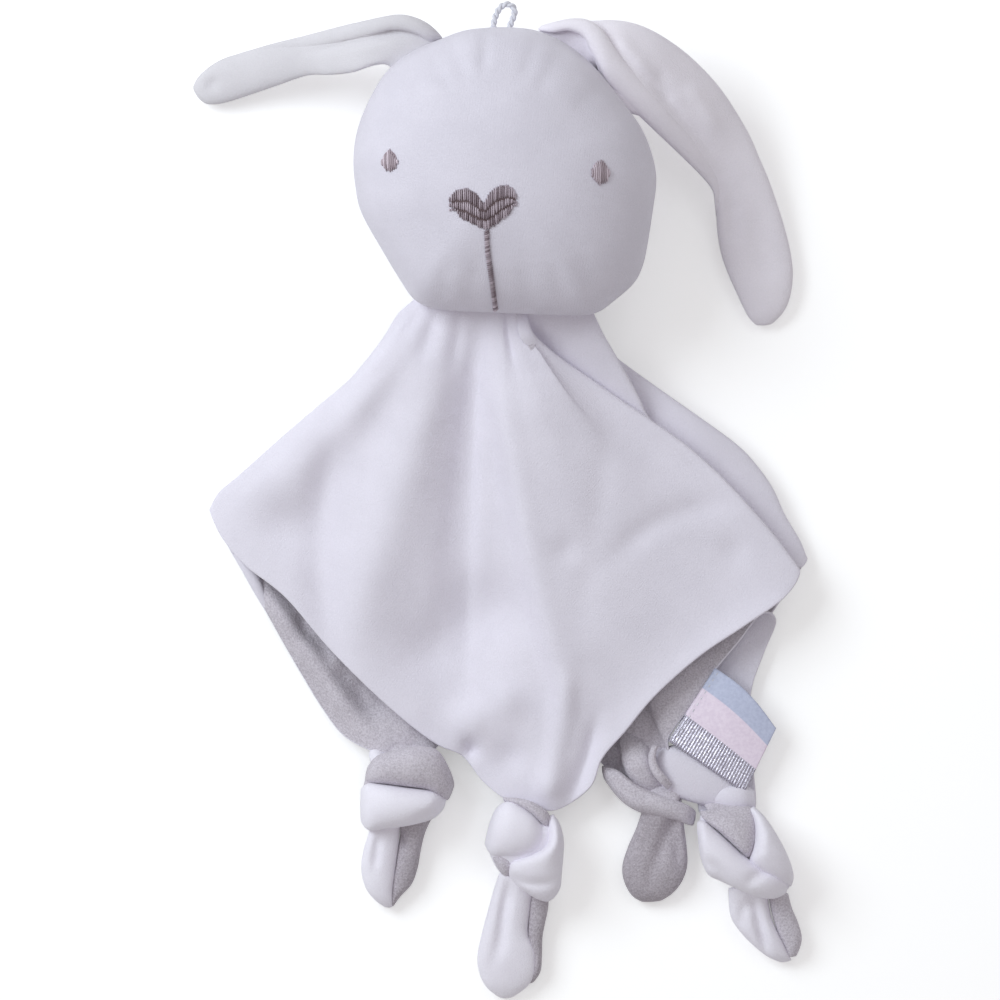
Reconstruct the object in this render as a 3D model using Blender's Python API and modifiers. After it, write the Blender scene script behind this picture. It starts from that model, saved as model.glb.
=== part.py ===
"""Comfort blanket with a stuffed rabbit head, lying on its back with its face up.

The head is two velour panels round a filling. The ears, a hanger loop and the embroidery are on
the head, and a lined square of velour is gathered round its neck. The four corners of the square
are tied in knots, and a folded ribbon tag is sewn into its hem. Metres, +Z up: +X is to the
reader's right and +Y runs from the knots to the crown.
"""

import math
from collections import namedtuple

import bmesh
import bpy
import numpy as np

# Head
HEAD_WIDTH = 0.1057
HEAD_LENGTH = 0.0994
HEAD_DEPTH = 0.0720
HEAD_X = 0.0018
HEAD_Y = 0.1148
PANEL_THICKNESS = 0.0012
FLAT_DEPTH = 0.0005

# Ears
LEFT_EAR_LENGTH = 0.0630
RIGHT_EAR_LENGTH = 0.1060
EAR_THICKNESS = 0.0085
EAR_PANEL_THICKNESS = 0.0010
EAR_SEAM_GAP = 0.0008
EAR_TIP_HEIGHT = 0.0050
EAR_ROOT_HEIGHT = 0.0330

# Hanger loop
LOOP_LENGTH = 0.0085
LOOP_WIDTH = 0.0076
LOOP_CORD = 0.0023

# Embroidery
EYE_WIDTH = 0.0058
EYE_HEIGHT = 0.0086
NOSE_WIDTH = 0.0245
NOSE_HEIGHT = 0.0152
MOUTH_WIDTH = 0.0018
STITCH_HEIGHT = 0.0008

# Blanket
BLANKET_SIDE = 0.3000
FACE_THICKNESS = 0.0009
LINING_THICKNESS = 0.0008
FOLD_HEIGHT = 0.0100
NECK_GAP = 0.0011

# Knots
KNOT_HEIGHT = 0.0240
CORE_RADIUS = 0.0060
GATHER_LENGTH = 0.0028
TAIL_THICKNESS = 0.0095
TAIL_EASE = 0.0010
TAIL_FLARE = 0.0030

# Ribbon tag
TAG_LENGTH = 0.0300
TAG_WIDTH = 0.0290
RIBBON_THICKNESS = 0.0005
TAG_FOLD_GAP = 0.0010
TAG_SEAM_GAP = 0.0007
SEAM_HEIGHT = 0.0098
STITCH_THREAD = 0.0006
STITCH_INSET = 0.0020
LEAF_SHARE = 0.4

# Fits
CLEARANCE = 0.0003
WELD = 0.00001

# Shape of the head: its outline as seen from above, in the photograph's pixels
HEAD_CENTRE_PX = (505, 172)
HEAD_WIDTH_PX = 302
HEAD_LENGTH_PX = 284
HEAD_OUTLINE_PX = (
    (653, 180), (648, 239), (634, 282), (614, 304), (590, 313), (547, 313), (497, 312),
    (438, 309), (416, 300), (400, 280), (380, 247), (361, 213), (354, 172), (355, 142),
    (363, 115), (376, 90), (398, 66), (425, 47), (460, 33), (505, 28), (548, 33),
    (595, 68), (627, 108), (643, 135), (651, 158),
)
OUTLINE_HARMONICS = 6

# The neck ring on the underside of the head, as angles round and over the head
NECK_TURN = math.radians(-91)
NECK_SPREAD = math.radians(34)
NECK_TILT = math.radians(108)
NECK_RISE = math.radians(20)

# Ears, from inside the head to the tip: (pixel x, pixel y, half width in pixels, share of the
# height from tip to root, share of the thickness). The ear bends at the row of its number.
LEFT_EAR_LENGTH_PX = 180
LEFT_ROOT_PX = (398, 66)
LEFT_EAR_BEND_ROW = 3
LEFT_EAR_PX = (
    (432, 62, 26, 0.95, 1.30), (415, 53, 27, 1.00, 1.30), (397, 44, 24, 1.03, 1.15),
    (376, 41, 22, 1.00, 1.00), (358, 44, 22, 0.90, 1.00), (338, 49, 23, 0.72, 1.00),
    (310, 56, 21, 0.44, 0.95), (281, 64, 21, 0.22, 0.90), (252, 72, 21, 0.08, 0.85),
    (226, 80, 19, 0.00, 0.85), (208, 86, 15, 0.00, 0.70), (198, 90, 8, 0.00, 0.45),
)
RIGHT_EAR_LENGTH_PX = 303
RIGHT_ROOT_PX = (595, 68)
EAR_THINNEST_SHARE = 0.3
RIGHT_EAR_BEND_ROW = 3
RIGHT_EAR_PX = (
    (548, 64, 30, 0.90, 1.30), (565, 52, 31, 1.00, 1.30), (588, 44, 28, 1.05, 1.15),
    (612, 47, 27, 1.00, 1.00), (634, 58, 31, 0.93, 1.05), (660, 80, 32, 0.76, 1.05),
    (688, 112, 33, 0.52, 1.05), (713, 148, 34, 0.30, 1.00), (734, 188, 33, 0.14, 1.00),
    (749, 228, 31, 0.05, 0.95), (758, 262, 30, 0.00, 0.95), (764, 289, 26, 0.00, 0.85),
    (765, 309, 17, 0.00, 0.60), (763, 321, 7, 0.00, 0.35),
)

# Embroidery places
LEFT_EYE_PX = (390, 160)
RIGHT_EYE_PX = (601, 172)
NOSE_PX = (484, 205)
MOUTH_PX = ((486, 231), (488, 250), (491, 270), (493, 290), (495, 307))
HEART_SHARES = (
    (0.00, -1.00), (0.36, -0.62), (0.70, -0.16), (0.98, 0.34), (0.90, 0.76), (0.56, 0.98),
    (0.22, 0.72), (0.00, 0.30), (-0.22, 0.72), (-0.56, 0.98), (-0.90, 0.76), (-0.98, 0.34),
    (-0.70, -0.16), (-0.36, -0.62),
)
EYE_SHARES = tuple(
    (math.cos(math.radians(turn)), math.sin(math.radians(turn))) for turn in range(0, 360, 30)
)
LOOP_FOOT_TURN = 140

# Knots. The waist is where the corner of the blanket enters the knot; the heading is the way that
# the knot points, in degrees from +X, and the bend turns its tail on from there.
Knot = namedtuple(
    "Knot",
    "waist_px waist_height waist_width heading width height length tail_length tail_width bend",
)
KNOTS = {
    "left": Knot(
        waist_px=(404, 751),
        waist_height=0.0070,
        waist_width=0.0190,
        heading=-92,
        width=0.0310,
        height=KNOT_HEIGHT,
        length=0.0245,
        tail_length=0.0270,
        tail_width=0.0200,
        bend=-10,
    ),
    "centre": Knot(
        waist_px=(529, 801),
        waist_height=0.0100,
        waist_width=0.0165,
        heading=-96,
        width=0.0290,
        height=KNOT_HEIGHT,
        length=0.0285,
        tail_length=0.0375,
        tail_width=0.0235,
        bend=4,
    ),
    "back": Knot(
        waist_px=(664, 800),
        waist_height=0.0060,
        waist_width=0.0120,
        heading=-100,
        width=0.0185,
        height=0.0170,
        length=0.0100,
        tail_length=0.0225,
        tail_width=0.0215,
        bend=-4,
    ),
    "right": Knot(
        waist_px=(727, 811),
        waist_height=0.0040,
        waist_width=0.0190,
        heading=-72,
        width=0.0320,
        height=KNOT_HEIGHT,
        length=0.0280,
        tail_length=0.0240,
        tail_width=0.0225,
        bend=12,
    ),
}
TAIL_WIDTH_SHARES = (
    (0.00, 0.86), (0.20, 0.96), (0.45, 1.00), (0.70, 0.88), (0.90, 0.55), (1.00, 0.20),
)
TAIL_THINNING_SHARE = 0.3
GATHER_THICK_SHARE = 0.6
SQUARE_SHARE = 0.9
WRAP_FULL_SHARE = 0.6
GROOVE_SHARES = namedtuple("Groove", "depth slant width")(depth=0.14, slant=0.22, width=0.10)

# Tag: the seam's end towards the knots, the way along the seam, and the way out from it, in degrees
SEAM_PX = (668, 739)
SEAM_HEADING = 56.0
TAG_HEADING = -34.0

# Ribs of the blanket, clockwise from the middle of the front as a reader sees it. Each leaves
# the neck ring at an angle, is drawn by a control point, and ends on the hem. A place is
# (pixel x, pixel y, height share of FOLD_HEIGHT), or a knot's waist or the tag's seam with a side.
NECK_PX = (505, 312)
BLANKET_SIDE_PX = 857
RIBS = (
    # Front flap, from its corner to the fold at the left
    (90, (507, 560, 1.30), ("centre", 0)),
    (94, (494, 550, 1.90), ("centre", -1)),
    (98, (478, 545, 1.70), (482, 779, 1.00)),
    (102, (462, 540, 0.95), (463, 755, 1.00)),
    (107, (446, 530, 1.00), (437, 743, 1.10)),
    (112, (428, 520, 1.45), (406, 720, 1.20)),
    (118, (404, 500, 1.55), (367, 685, 1.25)),
    (125, (376, 475, 1.35), (326, 643, 1.25)),
    (133, (352, 455, 1.20), (286, 596, 1.20)),
    (142, (336, 432, 1.50), (245, 562, 1.10)),
    (152, (334, 412, 1.40), (217, 532, 0.95)),
    (165, (308, 428, 0.85), (208, 511, 0.55)),
    # Left quarter, lining up, from the fold to the left knot
    (180, (332, 446, 0.20), (233, 550, 0.10)),
    (195, (350, 474, 0.00), (262, 600, 0.00)),
    (205, (372, 496, 0.00), (285, 641, 0.00)),
    (212, (388, 524, 0.00), (304, 675, 0.00)),
    (218, (404, 544, 0.00), (324, 705, 0.10)),
    (224, (420, 562, 0.10), (347, 731, 0.35)),
    (230, (432, 575, 0.20), ("left", -1)),
    (236, (442, 584, 0.25), ("left", 0)),
    (242, (452, 586, 0.20), ("left", 1)),
    # Back quarter, hidden, from the left knot to the back knot
    (248, (462, 566, 0.00), (460, 718, 0.15)),
    (254, (480, 556, 0.00), (505, 700, 0.00)),
    (260, (502, 560, 0.00), (558, 718, 0.00)),
    (266, (530, 572, 0.00), (597, 758, 0.10)),
    (271, (548, 582, 0.00), (624, 782, 0.30)),
    (276, (560, 590, 0.10), ("back", -1)),
    (281, (570, 594, 0.15), ("back", 0)),
    (286, (580, 594, 0.25), ("back", 1)),
    # Raised hem that carries the tag, folded over the right quarter
    (291, (588, 585, 0.50), (676, 770, 0.70)),
    (296, (596, 572, 0.75), ("seam", 0)),
    (301, (603, 558, 0.88), ("seam", 1)),
    (305, (607, 547, 0.92), ("seam", 2)),
    (308, (610, 541, 0.94), (727, 657, 0.98)),
    (311, (614, 537, 0.86), (733, 663, 0.86)),
    (314, (620, 538, 0.70), (731, 674, 0.72)),
    (317, (626, 544, 0.54), (726, 700, 0.68)),
    (321, (634, 556, 0.36), (713, 748, 0.72)),
    # Right quarter, lining up, from the right knot to the right tip
    (325, (642, 566, 0.15), ("right", -1)),
    (329, (656, 560, 0.05), ("right", 0)),
    (333, (670, 548, 0.00), ("right", 1)),
    (338, (684, 525, 0.00), (754, 755, 0.10)),
    (343, (694, 504, 0.00), (749, 695, 0.00)),
    (348, (704, 482, 0.00), (766, 641, 0.00)),
    (353, (718, 462, 0.00), (787, 594, 0.05)),
    # Wing at the right: its outer fold, its upper layer, and the pleat under the front flap
    (357, (733, 430, 0.08), (801, 569, 0.08)),
    (361, (737, 421, 0.38), (806, 562, 0.36)),
    (365, (732, 420, 0.70), (800, 558, 0.64)),
    (371, (712, 430, 0.86), (788, 564, 0.70)),
    (380, (654, 437, 0.88), (775, 565, 0.70)),
    (387, (646, 436, 1.04), (768, 566, 0.88)),
    (394, (654, 434, 1.22), (774, 568, 1.10)),
    # Front flap again, from the fold at the right to its corner
    (410, (672, 432, 1.65), (801, 576, 1.38)),
    (418, (650, 452, 1.80), (780, 597, 1.46)),
    (424, (624, 482, 1.62), (742, 627, 1.42)),
    (430, (600, 502, 1.52), (699, 657, 1.36)),
    (435, (578, 520, 1.48), (655, 696, 1.26)),
    (439, (560, 535, 1.35), (625, 732, 1.10)),
    (443, (544, 545, 1.25), (601, 757, 1.00)),
    (446, (532, 555, 1.25), (592, 784, 0.95)),
    (448, (520, 560, 1.25), ("centre", 1)),
)
RIB_STEPS = 7

# Colours in linear RGB, and roughness
VELOUR_WHITE = ((0.78, 0.77, 0.82), 0.85)
VELOUR_SHADE = ((0.72, 0.71, 0.76), 0.85)
LINING_GREY = ((0.45, 0.42, 0.44), 0.90)
FILLING_WHITE = ((0.85, 0.85, 0.84), 0.95)
TAUPE_THREAD = ((0.19, 0.13, 0.14), 0.45)
CORD_WHITE = ((0.80, 0.80, 0.82), 0.70)
RIBBON_PINK = ((0.72, 0.60, 0.72), 0.40)
TAG_THREAD = ((0.55, 0.53, 0.56), 0.50)

for left_over in list(bpy.data.objects):
    bpy.data.objects.remove(left_over)

toy = bpy.data.collections.new("comfort_blanket")
cutters = bpy.data.collections.new("cutters")
bpy.context.scene.collection.children.link(toy)
bpy.context.scene.collection.children.link(cutters)


# Frame of the joints: one empty on each axis

def joint_empty(name, place, parent=None):
    empty = bpy.data.objects.new(name, None)
    toy.objects.link(empty)
    empty.location = place
    if parent:
        empty.location = np.array(place) - np.array(parent.matrix_world.translation)
        empty.parent = parent
    bpy.context.view_layer.update()
    return empty


def finished(obj, look, empty=None):
    """Gives a node its material and hangs it on its joint's empty without moving it."""
    colour, roughness = look
    material = bpy.data.materials.new(obj.name)
    material.use_nodes = True
    shader = material.node_tree.nodes["Principled BSDF"]
    shader.inputs["Base Color"].default_value = (*colour, 1.0)
    shader.inputs["Roughness"].default_value = roughness
    shader.inputs["Metallic"].default_value = 0.0
    obj.data.materials.append(material)
    if empty:
        obj.parent = empty
        obj.matrix_parent_inverse = empty.matrix_world.inverted()
    return obj


# Shape helpers

def object_from(name, mesh, collection=toy):
    data = bpy.data.meshes.new(name)
    mesh.to_mesh(data)
    mesh.free()
    data.shade_smooth()
    obj = bpy.data.objects.new(name, data)
    collection.objects.link(obj)
    return obj


def grid(columns, rows, place, round_u=False, round_v=False):
    """A sheet of faces whose corners place(u, v) sets, with u and v from 0 to 1."""
    mesh = bmesh.new()
    bmesh.ops.create_grid(mesh, x_segments=columns, y_segments=rows, size=0.5)
    for vertex in mesh.verts:
        vertex.co = place(vertex.co.x + 0.5, vertex.co.y + 0.5)
    if round_u or round_v:
        bmesh.ops.remove_doubles(mesh, verts=mesh.verts, dist=WELD)
    return mesh


def closed(mesh):
    """Fills the open ends of a loft and turns its faces outwards."""
    rims = [edge for edge in mesh.edges if edge.is_boundary]
    if rims:
        bmesh.ops.holes_fill(mesh, edges=rims, sides=0)
    bmesh.ops.recalc_face_normals(mesh, faces=mesh.faces)
    return mesh


def thickened(obj, thickness, offset):
    solidify = obj.modifiers.new("thickness", "SOLIDIFY")
    solidify.thickness = thickness
    solidify.offset = offset
    return obj


def between(table, at):
    """Reads a table of rows at a fractional row number, along a smooth curve through its rows."""
    rows = np.array(table, float)
    low = min(int(at), len(rows) - 2)
    t = at - low
    before, after = rows[max(low - 1, 0)], rows[min(low + 2, len(rows) - 1)]
    start, end = rows[low], rows[low + 1]
    bow = (2 * before - 5 * start + 4 * end - after) * t**2
    turn = (3 * start - before - 3 * end + after) * t**3
    return start + 0.5 * ((end - before) * t + bow + turn)


def ellipse_ring(turn, half_width, half_height, fullness=1.0):
    """A point of an oval section: (sideways, up)."""
    side, up = math.cos(turn), math.sin(turn)
    return (
        half_width * math.copysign(abs(side) ** fullness, side),
        half_height * math.copysign(abs(up) ** fullness, up),
    )


# Head

def outline_terms(turns):
    turns = np.atleast_1d(turns)
    waves = [np.ones_like(turns)]
    for n in range(1, OUTLINE_HARMONICS + 1):
        waves += [np.cos(n * turns), np.sin(n * turns)]
    return np.stack(waves, axis=1)


def outline_fit():
    across = np.array(HEAD_OUTLINE_PX, float) - np.array(HEAD_CENTRE_PX, float)
    turns = np.arctan2(-across[:, 1], across[:, 0])
    reach = np.hypot(across[:, 0], across[:, 1])
    return np.linalg.lstsq(outline_terms(turns), reach, rcond=None)[0]


HEAD_FIT = outline_fit()
HEAD_MIDDLE = HEAD_DEPTH / 2 - FLAT_DEPTH
FLAT_TILT = math.acos(HEAD_MIDDLE / (HEAD_DEPTH / 2))
HEAD_UNIT_X = HEAD_WIDTH / HEAD_WIDTH_PX
HEAD_UNIT_Y = HEAD_LENGTH / HEAD_LENGTH_PX


def head_reach(turn):
    return float((outline_terms(float(turn)) @ HEAD_FIT)[0])


def head_point(turn, tilt, lift=0.0):
    """The skin of the head: turn goes round its outline, tilt runs from the face to the back."""
    reach, out = head_reach(turn), math.sin(tilt)
    across = reach * HEAD_UNIT_X + lift
    along = reach * HEAD_UNIT_Y + lift
    return np.array([
        HEAD_X + across * out * math.cos(turn),
        HEAD_Y + along * out * math.sin(turn),
        HEAD_MIDDLE + (HEAD_DEPTH / 2 + lift) * math.cos(tilt),
    ])


def on_face(px, py, lift):
    """The point of the face under a pixel of the photograph."""
    right, up = px - HEAD_CENTRE_PX[0], HEAD_CENTRE_PX[1] - py
    turn = math.atan2(up, right)
    out = min(math.hypot(right, up) / head_reach(turn), 1.0)
    return head_point(turn, math.asin(out), lift)


def from_ball(corner, lift):
    """Moves a corner of a unit ball to the head's skin, with the back pressed flat."""
    turn = math.atan2(corner.y, corner.x)
    tilt = math.acos(max(-1.0, min(1.0, corner.z)))
    place = head_point(turn, tilt, lift)
    place[2] = max(place[2], -lift)
    return place


def head_ball(rings, lift):
    """The head from a primitive ball."""
    mesh = bmesh.new()
    bmesh.ops.create_uvsphere(mesh, u_segments=32, v_segments=rings, radius=1.0)
    for vertex in mesh.verts:
        vertex.co = from_ball(vertex.co, lift)
    return mesh


def head_panel(name, side):
    """One velour panel: a bowl whose skin turns back inside itself half a clearance off the seam."""
    steps = 7

    def place(u, v):
        row = round(v * (2 * steps + 1))
        inside = row > steps
        ring = 2 * steps + 1 - row if inside else row
        tilt = float(np.interp(ring, (0, 1, steps), (0, FLAT_TILT, math.pi / 2)))
        lift = -PANEL_THICKNESS if inside else 0.0
        spot = head_point(2 * math.pi * u, tilt if side > 0 else math.pi - tilt, lift)
        if ring == steps:
            spot[2] += side * CLEARANCE / 2
        spot[2] = max(spot[2], -lift)
        return spot

    return object_from(name, closed(grid(32, 2 * steps + 1, place, round_u=True)))


def neck_point(around):
    """The neck ring, on the head's skin with room for the cloth's edge."""
    turn = NECK_TURN + NECK_SPREAD * math.cos(around)
    tilt = NECK_TILT - NECK_RISE * math.sin(around)
    return head_point(turn, tilt, NECK_GAP)


def neck_axis():
    """The crease in front of the neck, just above the cloth's edge and between it and the head."""
    crease = neck_point(math.pi / 2)
    skin = head_point(-math.pi / 2, math.pi / 2)
    return np.array([HEAD_X, (crease[1] + skin[1]) / 2, crease[2] + SHEET_HALF + CLEARANCE])


SHEET_HALF = CLEARANCE / 2 + FACE_THICKNESS
NECK = head_point(-math.pi / 2, math.pi / 2)
head_axis = joint_empty("head_joint", neck_axis())
finished(head_panel("head_front_panel", 1), VELOUR_WHITE, head_axis)
finished(head_panel("head_back_panel", -1), VELOUR_SHADE, head_axis)
filling = head_ball(10, -(PANEL_THICKNESS + 2 * CLEARANCE))
finished(object_from("head_filling", filling), FILLING_WHITE, head_axis)


# Embroidery

def patch(name, shares, centre_px, half_width, half_height):
    """A raised satin-stitched patch on the face, from its outline in shares of its half sizes."""
    rim = np.array(shares + shares[:1], float)
    wide_px, high_px = half_width / HEAD_UNIT_X, half_height / HEAD_UNIT_Y

    def place(u, v):
        side, up = between(rim, u * (len(rim) - 1)) * max(v, 0.0)
        return on_face(centre_px[0] + side * wide_px, centre_px[1] - up * high_px, CLEARANCE)

    mesh = grid(2 * (len(rim) - 1), 3, place, round_u=True)
    bmesh.ops.recalc_face_normals(mesh, faces=mesh.faces)
    if sum(face.normal.z for face in mesh.faces) < 0:
        bmesh.ops.reverse_faces(mesh, faces=mesh.faces)
    patch_object = thickened(object_from(name, mesh), STITCH_HEIGHT, 1)
    return finished(patch_object, TAUPE_THREAD, head_axis)


patch("left_eye_embroidery", EYE_SHARES, LEFT_EYE_PX, EYE_WIDTH / 2, EYE_HEIGHT / 2)
patch("right_eye_embroidery", EYE_SHARES, RIGHT_EYE_PX, EYE_WIDTH / 2, EYE_HEIGHT / 2)
patch("nose_embroidery", HEART_SHARES, NOSE_PX, NOSE_WIDTH / 2, NOSE_HEIGHT / 2)


def cord(name, points, thickness, look, empty):
    """A round thread or cord through a list of points."""
    curve = bpy.data.curves.new(name, "CURVE")
    curve.dimensions = "3D"
    curve.bevel_depth = thickness / 2
    curve.bevel_resolution = 2
    curve.use_fill_caps = True
    line = curve.splines.new("POLY")
    line.points.add(len(points) - 1)
    for point, place in zip(line.points, points):
        point.co = (*place, 1.0)
    obj = bpy.data.objects.new(name, curve)
    toy.objects.link(obj)
    return finished(obj, look, empty)


mouth_lift = MOUTH_WIDTH / 2 + CLEARANCE
mouth = [on_face(*between(MOUTH_PX, at), mouth_lift) for at in np.linspace(0, len(MOUTH_PX) - 1, 9)]
cord("mouth_embroidery", mouth, MOUTH_WIDTH, TAUPE_THREAD, head_axis)


# Hanger loop on the crown

crown = head_point(math.radians(91), math.radians(90), CLEARANCE)
loop_axis = joint_empty("hanger_loop_joint", (crown[0], crown[1], crown[2] + LOOP_CORD / 2), head_axis)


def loop_point(turn):
    """A teardrop whose two ends meet the crown side by side."""
    swing = math.radians(turn)
    spread = LOOP_WIDTH / 2 - LOOP_CORD / 2
    foot = LOOP_CORD / 2 + CLEARANCE
    side = math.sin(swing) * spread
    if abs(turn) > LOOP_FOOT_TURN:
        side = math.copysign(foot, turn)
    along = (LOOP_LENGTH - LOOP_CORD / 2) * (1 + math.cos(swing)) / 2
    return crown + np.array([side, along, 0.0])


cord("hanger_loop", [loop_point(turn) for turn in range(-180, 181, 20)], LOOP_CORD, CORD_WHITE, loop_axis)


# Ears

def ear_station(table, at, root_px, unit):
    """Centre, way along, half width and half thickness of an ear's section."""
    px, py, half_px, height_share, thick_share = between(table, at)
    ahead = between(table, min(at + 0.1, len(table) - 1)) - between(table, max(at - 0.1, 0.0))
    along = np.array([ahead[0], -ahead[1], 0.0])
    along /= np.linalg.norm(along)
    turn = math.atan2(HEAD_CENTRE_PX[1] - root_px[1], root_px[0] - HEAD_CENTRE_PX[0])
    root = head_point(turn, math.pi / 2)
    centre = root + np.array([px - root_px[0], root_px[1] - py, 0.0]) * unit
    half_thick = EAR_THICKNESS / 2 * thick_share
    height = EAR_TIP_HEIGHT + (EAR_ROOT_HEIGHT - EAR_TIP_HEIGHT) * height_share
    centre[2] = max(height, half_thick)
    return centre, along, half_px * unit, half_thick


def ear_piece(name, section, first, last, shift, inset=0.0, half=0, rows=16):
    """Part of an ear between two rows: an oval loft or, with half, a crescent above or below."""

    def place(u, v):
        centre, along, wide, thick = section(first + (last - first) * v)
        side = np.array([-along[1], along[0], 0.0])
        turn = 2 * math.pi * u
        shrink = inset
        if half:
            shrink = 0.0 if u < 0.5 else EAR_PANEL_THICKNESS
            turn = turn if u < 0.5 else 2 * math.pi - turn
        across, up = ellipse_ring(
            turn,
            wide * max(1 - shrink / wide, EAR_THINNEST_SHARE),
            thick * max(1 - shrink / thick, EAR_THINNEST_SHARE),
        )
        if half:
            up = half * (up + EAR_SEAM_GAP / 2)
        return centre + shift + side * across + np.array([0.0, 0.0, up])

    return object_from(name, closed(grid(16, rows, place, round_u=True)))


def ear(side, table, bend_row, root_px, unit):
    """An ear's two panels and its wadding on its joint, and its pleated root on the head."""

    def section(at):
        return ear_station(table, at, root_px, unit)

    tip_row = len(table) - 1
    centre, along, _, thick = section(bend_row)
    pivot = centre + np.array([0.0, 0.0, thick + EAR_SEAM_GAP])
    empty = joint_empty(f"{side}_ear_joint", pivot, head_axis)
    shift = along * CLEARANCE
    front = ear_piece(f"{side}_ear_front_panel", section, bend_row, tip_row, shift, half=1)
    back = ear_piece(f"{side}_ear_back_panel", section, bend_row, tip_row, shift, half=-1)
    inset = EAR_PANEL_THICKNESS + CLEARANCE
    wadding = ear_piece(f"{side}_ear_wadding", section, bend_row, tip_row, shift, inset, rows=12)
    root = ear_piece(f"{side}_ear_root", section, 0, bend_row, 0 * shift, rows=6)
    finished(front, VELOUR_WHITE, empty)
    finished(back, VELOUR_SHADE, empty)
    finished(wadding, FILLING_WHITE, empty)
    finished(root, VELOUR_WHITE, head_axis)
    cut = root.modifiers.new("head", "BOOLEAN")
    cut.operation = "DIFFERENCE"
    cut.object = head_cutter


head_cutter = object_from("head_cutter", head_ball(16, CLEARANCE), cutters)
head_cutter.hide_render = True
head_cutter.display_type = "WIRE"
left_unit = LEFT_EAR_LENGTH / LEFT_EAR_LENGTH_PX
right_unit = RIGHT_EAR_LENGTH / RIGHT_EAR_LENGTH_PX
ear("left", LEFT_EAR_PX, LEFT_EAR_BEND_ROW, LEFT_ROOT_PX, left_unit)
ear("right", RIGHT_EAR_PX, RIGHT_EAR_BEND_ROW, RIGHT_ROOT_PX, right_unit)


# Blanket

BLANKET_UNIT = BLANKET_SIDE / BLANKET_SIDE_PX


def on_blanket(px, py):
    return np.array([
        NECK[0] + (px - NECK_PX[0]) * BLANKET_UNIT,
        NECK[1] - (py - NECK_PX[1]) * BLANKET_UNIT,
        0.0,
    ])


def waist(knot):
    place = on_blanket(*knot.waist_px)
    place[2] = knot.waist_height
    return place


def heading(degrees):
    return np.array([math.cos(math.radians(degrees)), math.sin(math.radians(degrees)), 0.0])


def seam(share):
    """A point of the hem along the tag's seam, from its end towards the knots."""
    foot = on_blanket(*SEAM_PX)
    foot[2] = SEAM_HEIGHT
    return foot + heading(SEAM_HEADING) * TAG_WIDTH * share


def hem_place(row):
    """A rib's end: a knot's waist, the tag's seam, or a place of its own."""
    if row[0] in KNOTS:
        knot = KNOTS[row[0]]
        return waist(knot) + np.array([row[1] * knot.waist_width / 2, 0.0, 0.0])
    if row[0] == "seam":
        return seam(row[1] / 2)
    place = on_blanket(row[0], row[1])
    place[2] = row[2] * FOLD_HEIGHT
    return place


def rib(row):
    """The three control points of a rib: neck, middle and hem."""
    turn, middle, hem = row
    start = neck_point(math.radians(turn))
    control = on_blanket(middle[0], middle[1])
    control[2] = middle[2] * FOLD_HEIGHT
    return np.array([start, control, hem_place(hem)])


def blanket_layer(name, thickness, side):
    """One layer of the blanket, thickened to its own side of the surface where the two meet."""
    ribs = np.array([rib(row) for row in RIBS])

    def place(u, v):
        neck, middle, hem = ribs[round(u * len(ribs)) % len(ribs)]
        spot = neck * (1 - v) ** 2 + middle * 2 * v * (1 - v) + hem * v**2
        spot[2] = max(spot[2], SHEET_HALF)
        return spot

    mesh = grid(len(ribs), RIB_STEPS, place, round_u=True)
    mesh.normal_update()
    flap = [face for face in mesh.faces if face.calc_center_median().z > FOLD_HEIGHT]
    if sum(face.normal.z * face.calc_area() for face in flap) < 0:
        bmesh.ops.reverse_faces(mesh, faces=mesh.faces)
    mesh.normal_update()
    shift = [side * vertex.normal * CLEARANCE / 2 for vertex in mesh.verts]
    for vertex, step in zip(mesh.verts, shift):
        vertex.co += step
    return thickened(object_from(name, mesh), thickness, side)


finished(blanket_layer("blanket_face", FACE_THICKNESS, 1), VELOUR_WHITE)
finished(blanket_layer("blanket_lining", LINING_THICKNESS, -1), LINING_GREY)


# Knots

def knot_core(name, knot):
    """The gathered corner, its way through the knot, and the tail that comes out."""
    start = waist(knot) - np.array([0.0, CLEARANCE, 0.0])
    middle_height = knot.height / 2 - FLAT_DEPTH
    radius = min(CORE_RADIUS, knot.height / 4)
    tail_half = TAIL_THICKNESS / 2
    neck_out = GATHER_LENGTH + knot.length
    half_way = (knot.waist_height + middle_height) / 2
    stations = [
        (0.0, knot.waist_height, knot.waist_width / 2, SHEET_HALF),
        (GATHER_LENGTH / 2, half_way, knot.waist_width / 3, radius * GATHER_THICK_SHARE),
        (GATHER_LENGTH, middle_height, radius, radius),
        (GATHER_LENGTH + knot.length / 2, middle_height, radius, radius),
        (neck_out, middle_height, radius, radius),
        (neck_out + TAIL_EASE, middle_height, radius, radius),
    ]
    for along_share, width_share in TAIL_WIDTH_SHARES:
        reach = neck_out + TAIL_FLARE + (knot.tail_length - TAIL_FLARE) * along_share
        thick = tail_half * min(1.0, width_share + TAIL_THINNING_SHARE)
        stations.append((reach, tail_half, knot.tail_width / 2 * width_share, thick))
    total = stations[-1][0]

    def place(u, v):
        reach, height, wide, thick = between(stations, v * (len(stations) - 1))
        past = max(reach - neck_out, 0.0)
        turn = math.radians(knot.heading + knot.bend * past / (total - neck_out))
        along = start + heading(knot.heading) * min(reach, neck_out) + heading(math.degrees(turn)) * past
        lead = min(reach / GATHER_LENGTH, 1.0)
        side = np.array([1.0, 0.0, 0.0]) * (1 - lead) + heading(math.degrees(turn) + 90) * lead
        side /= np.linalg.norm(side)
        across, up = ellipse_ring(2 * math.pi * u, wide, thick, SQUARE_SHARE)
        spot = along + side * across
        spot[2] = max(height + up, 0.0)
        return spot

    return object_from(name, closed(grid(14, 22, place, round_u=True)))


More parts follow.
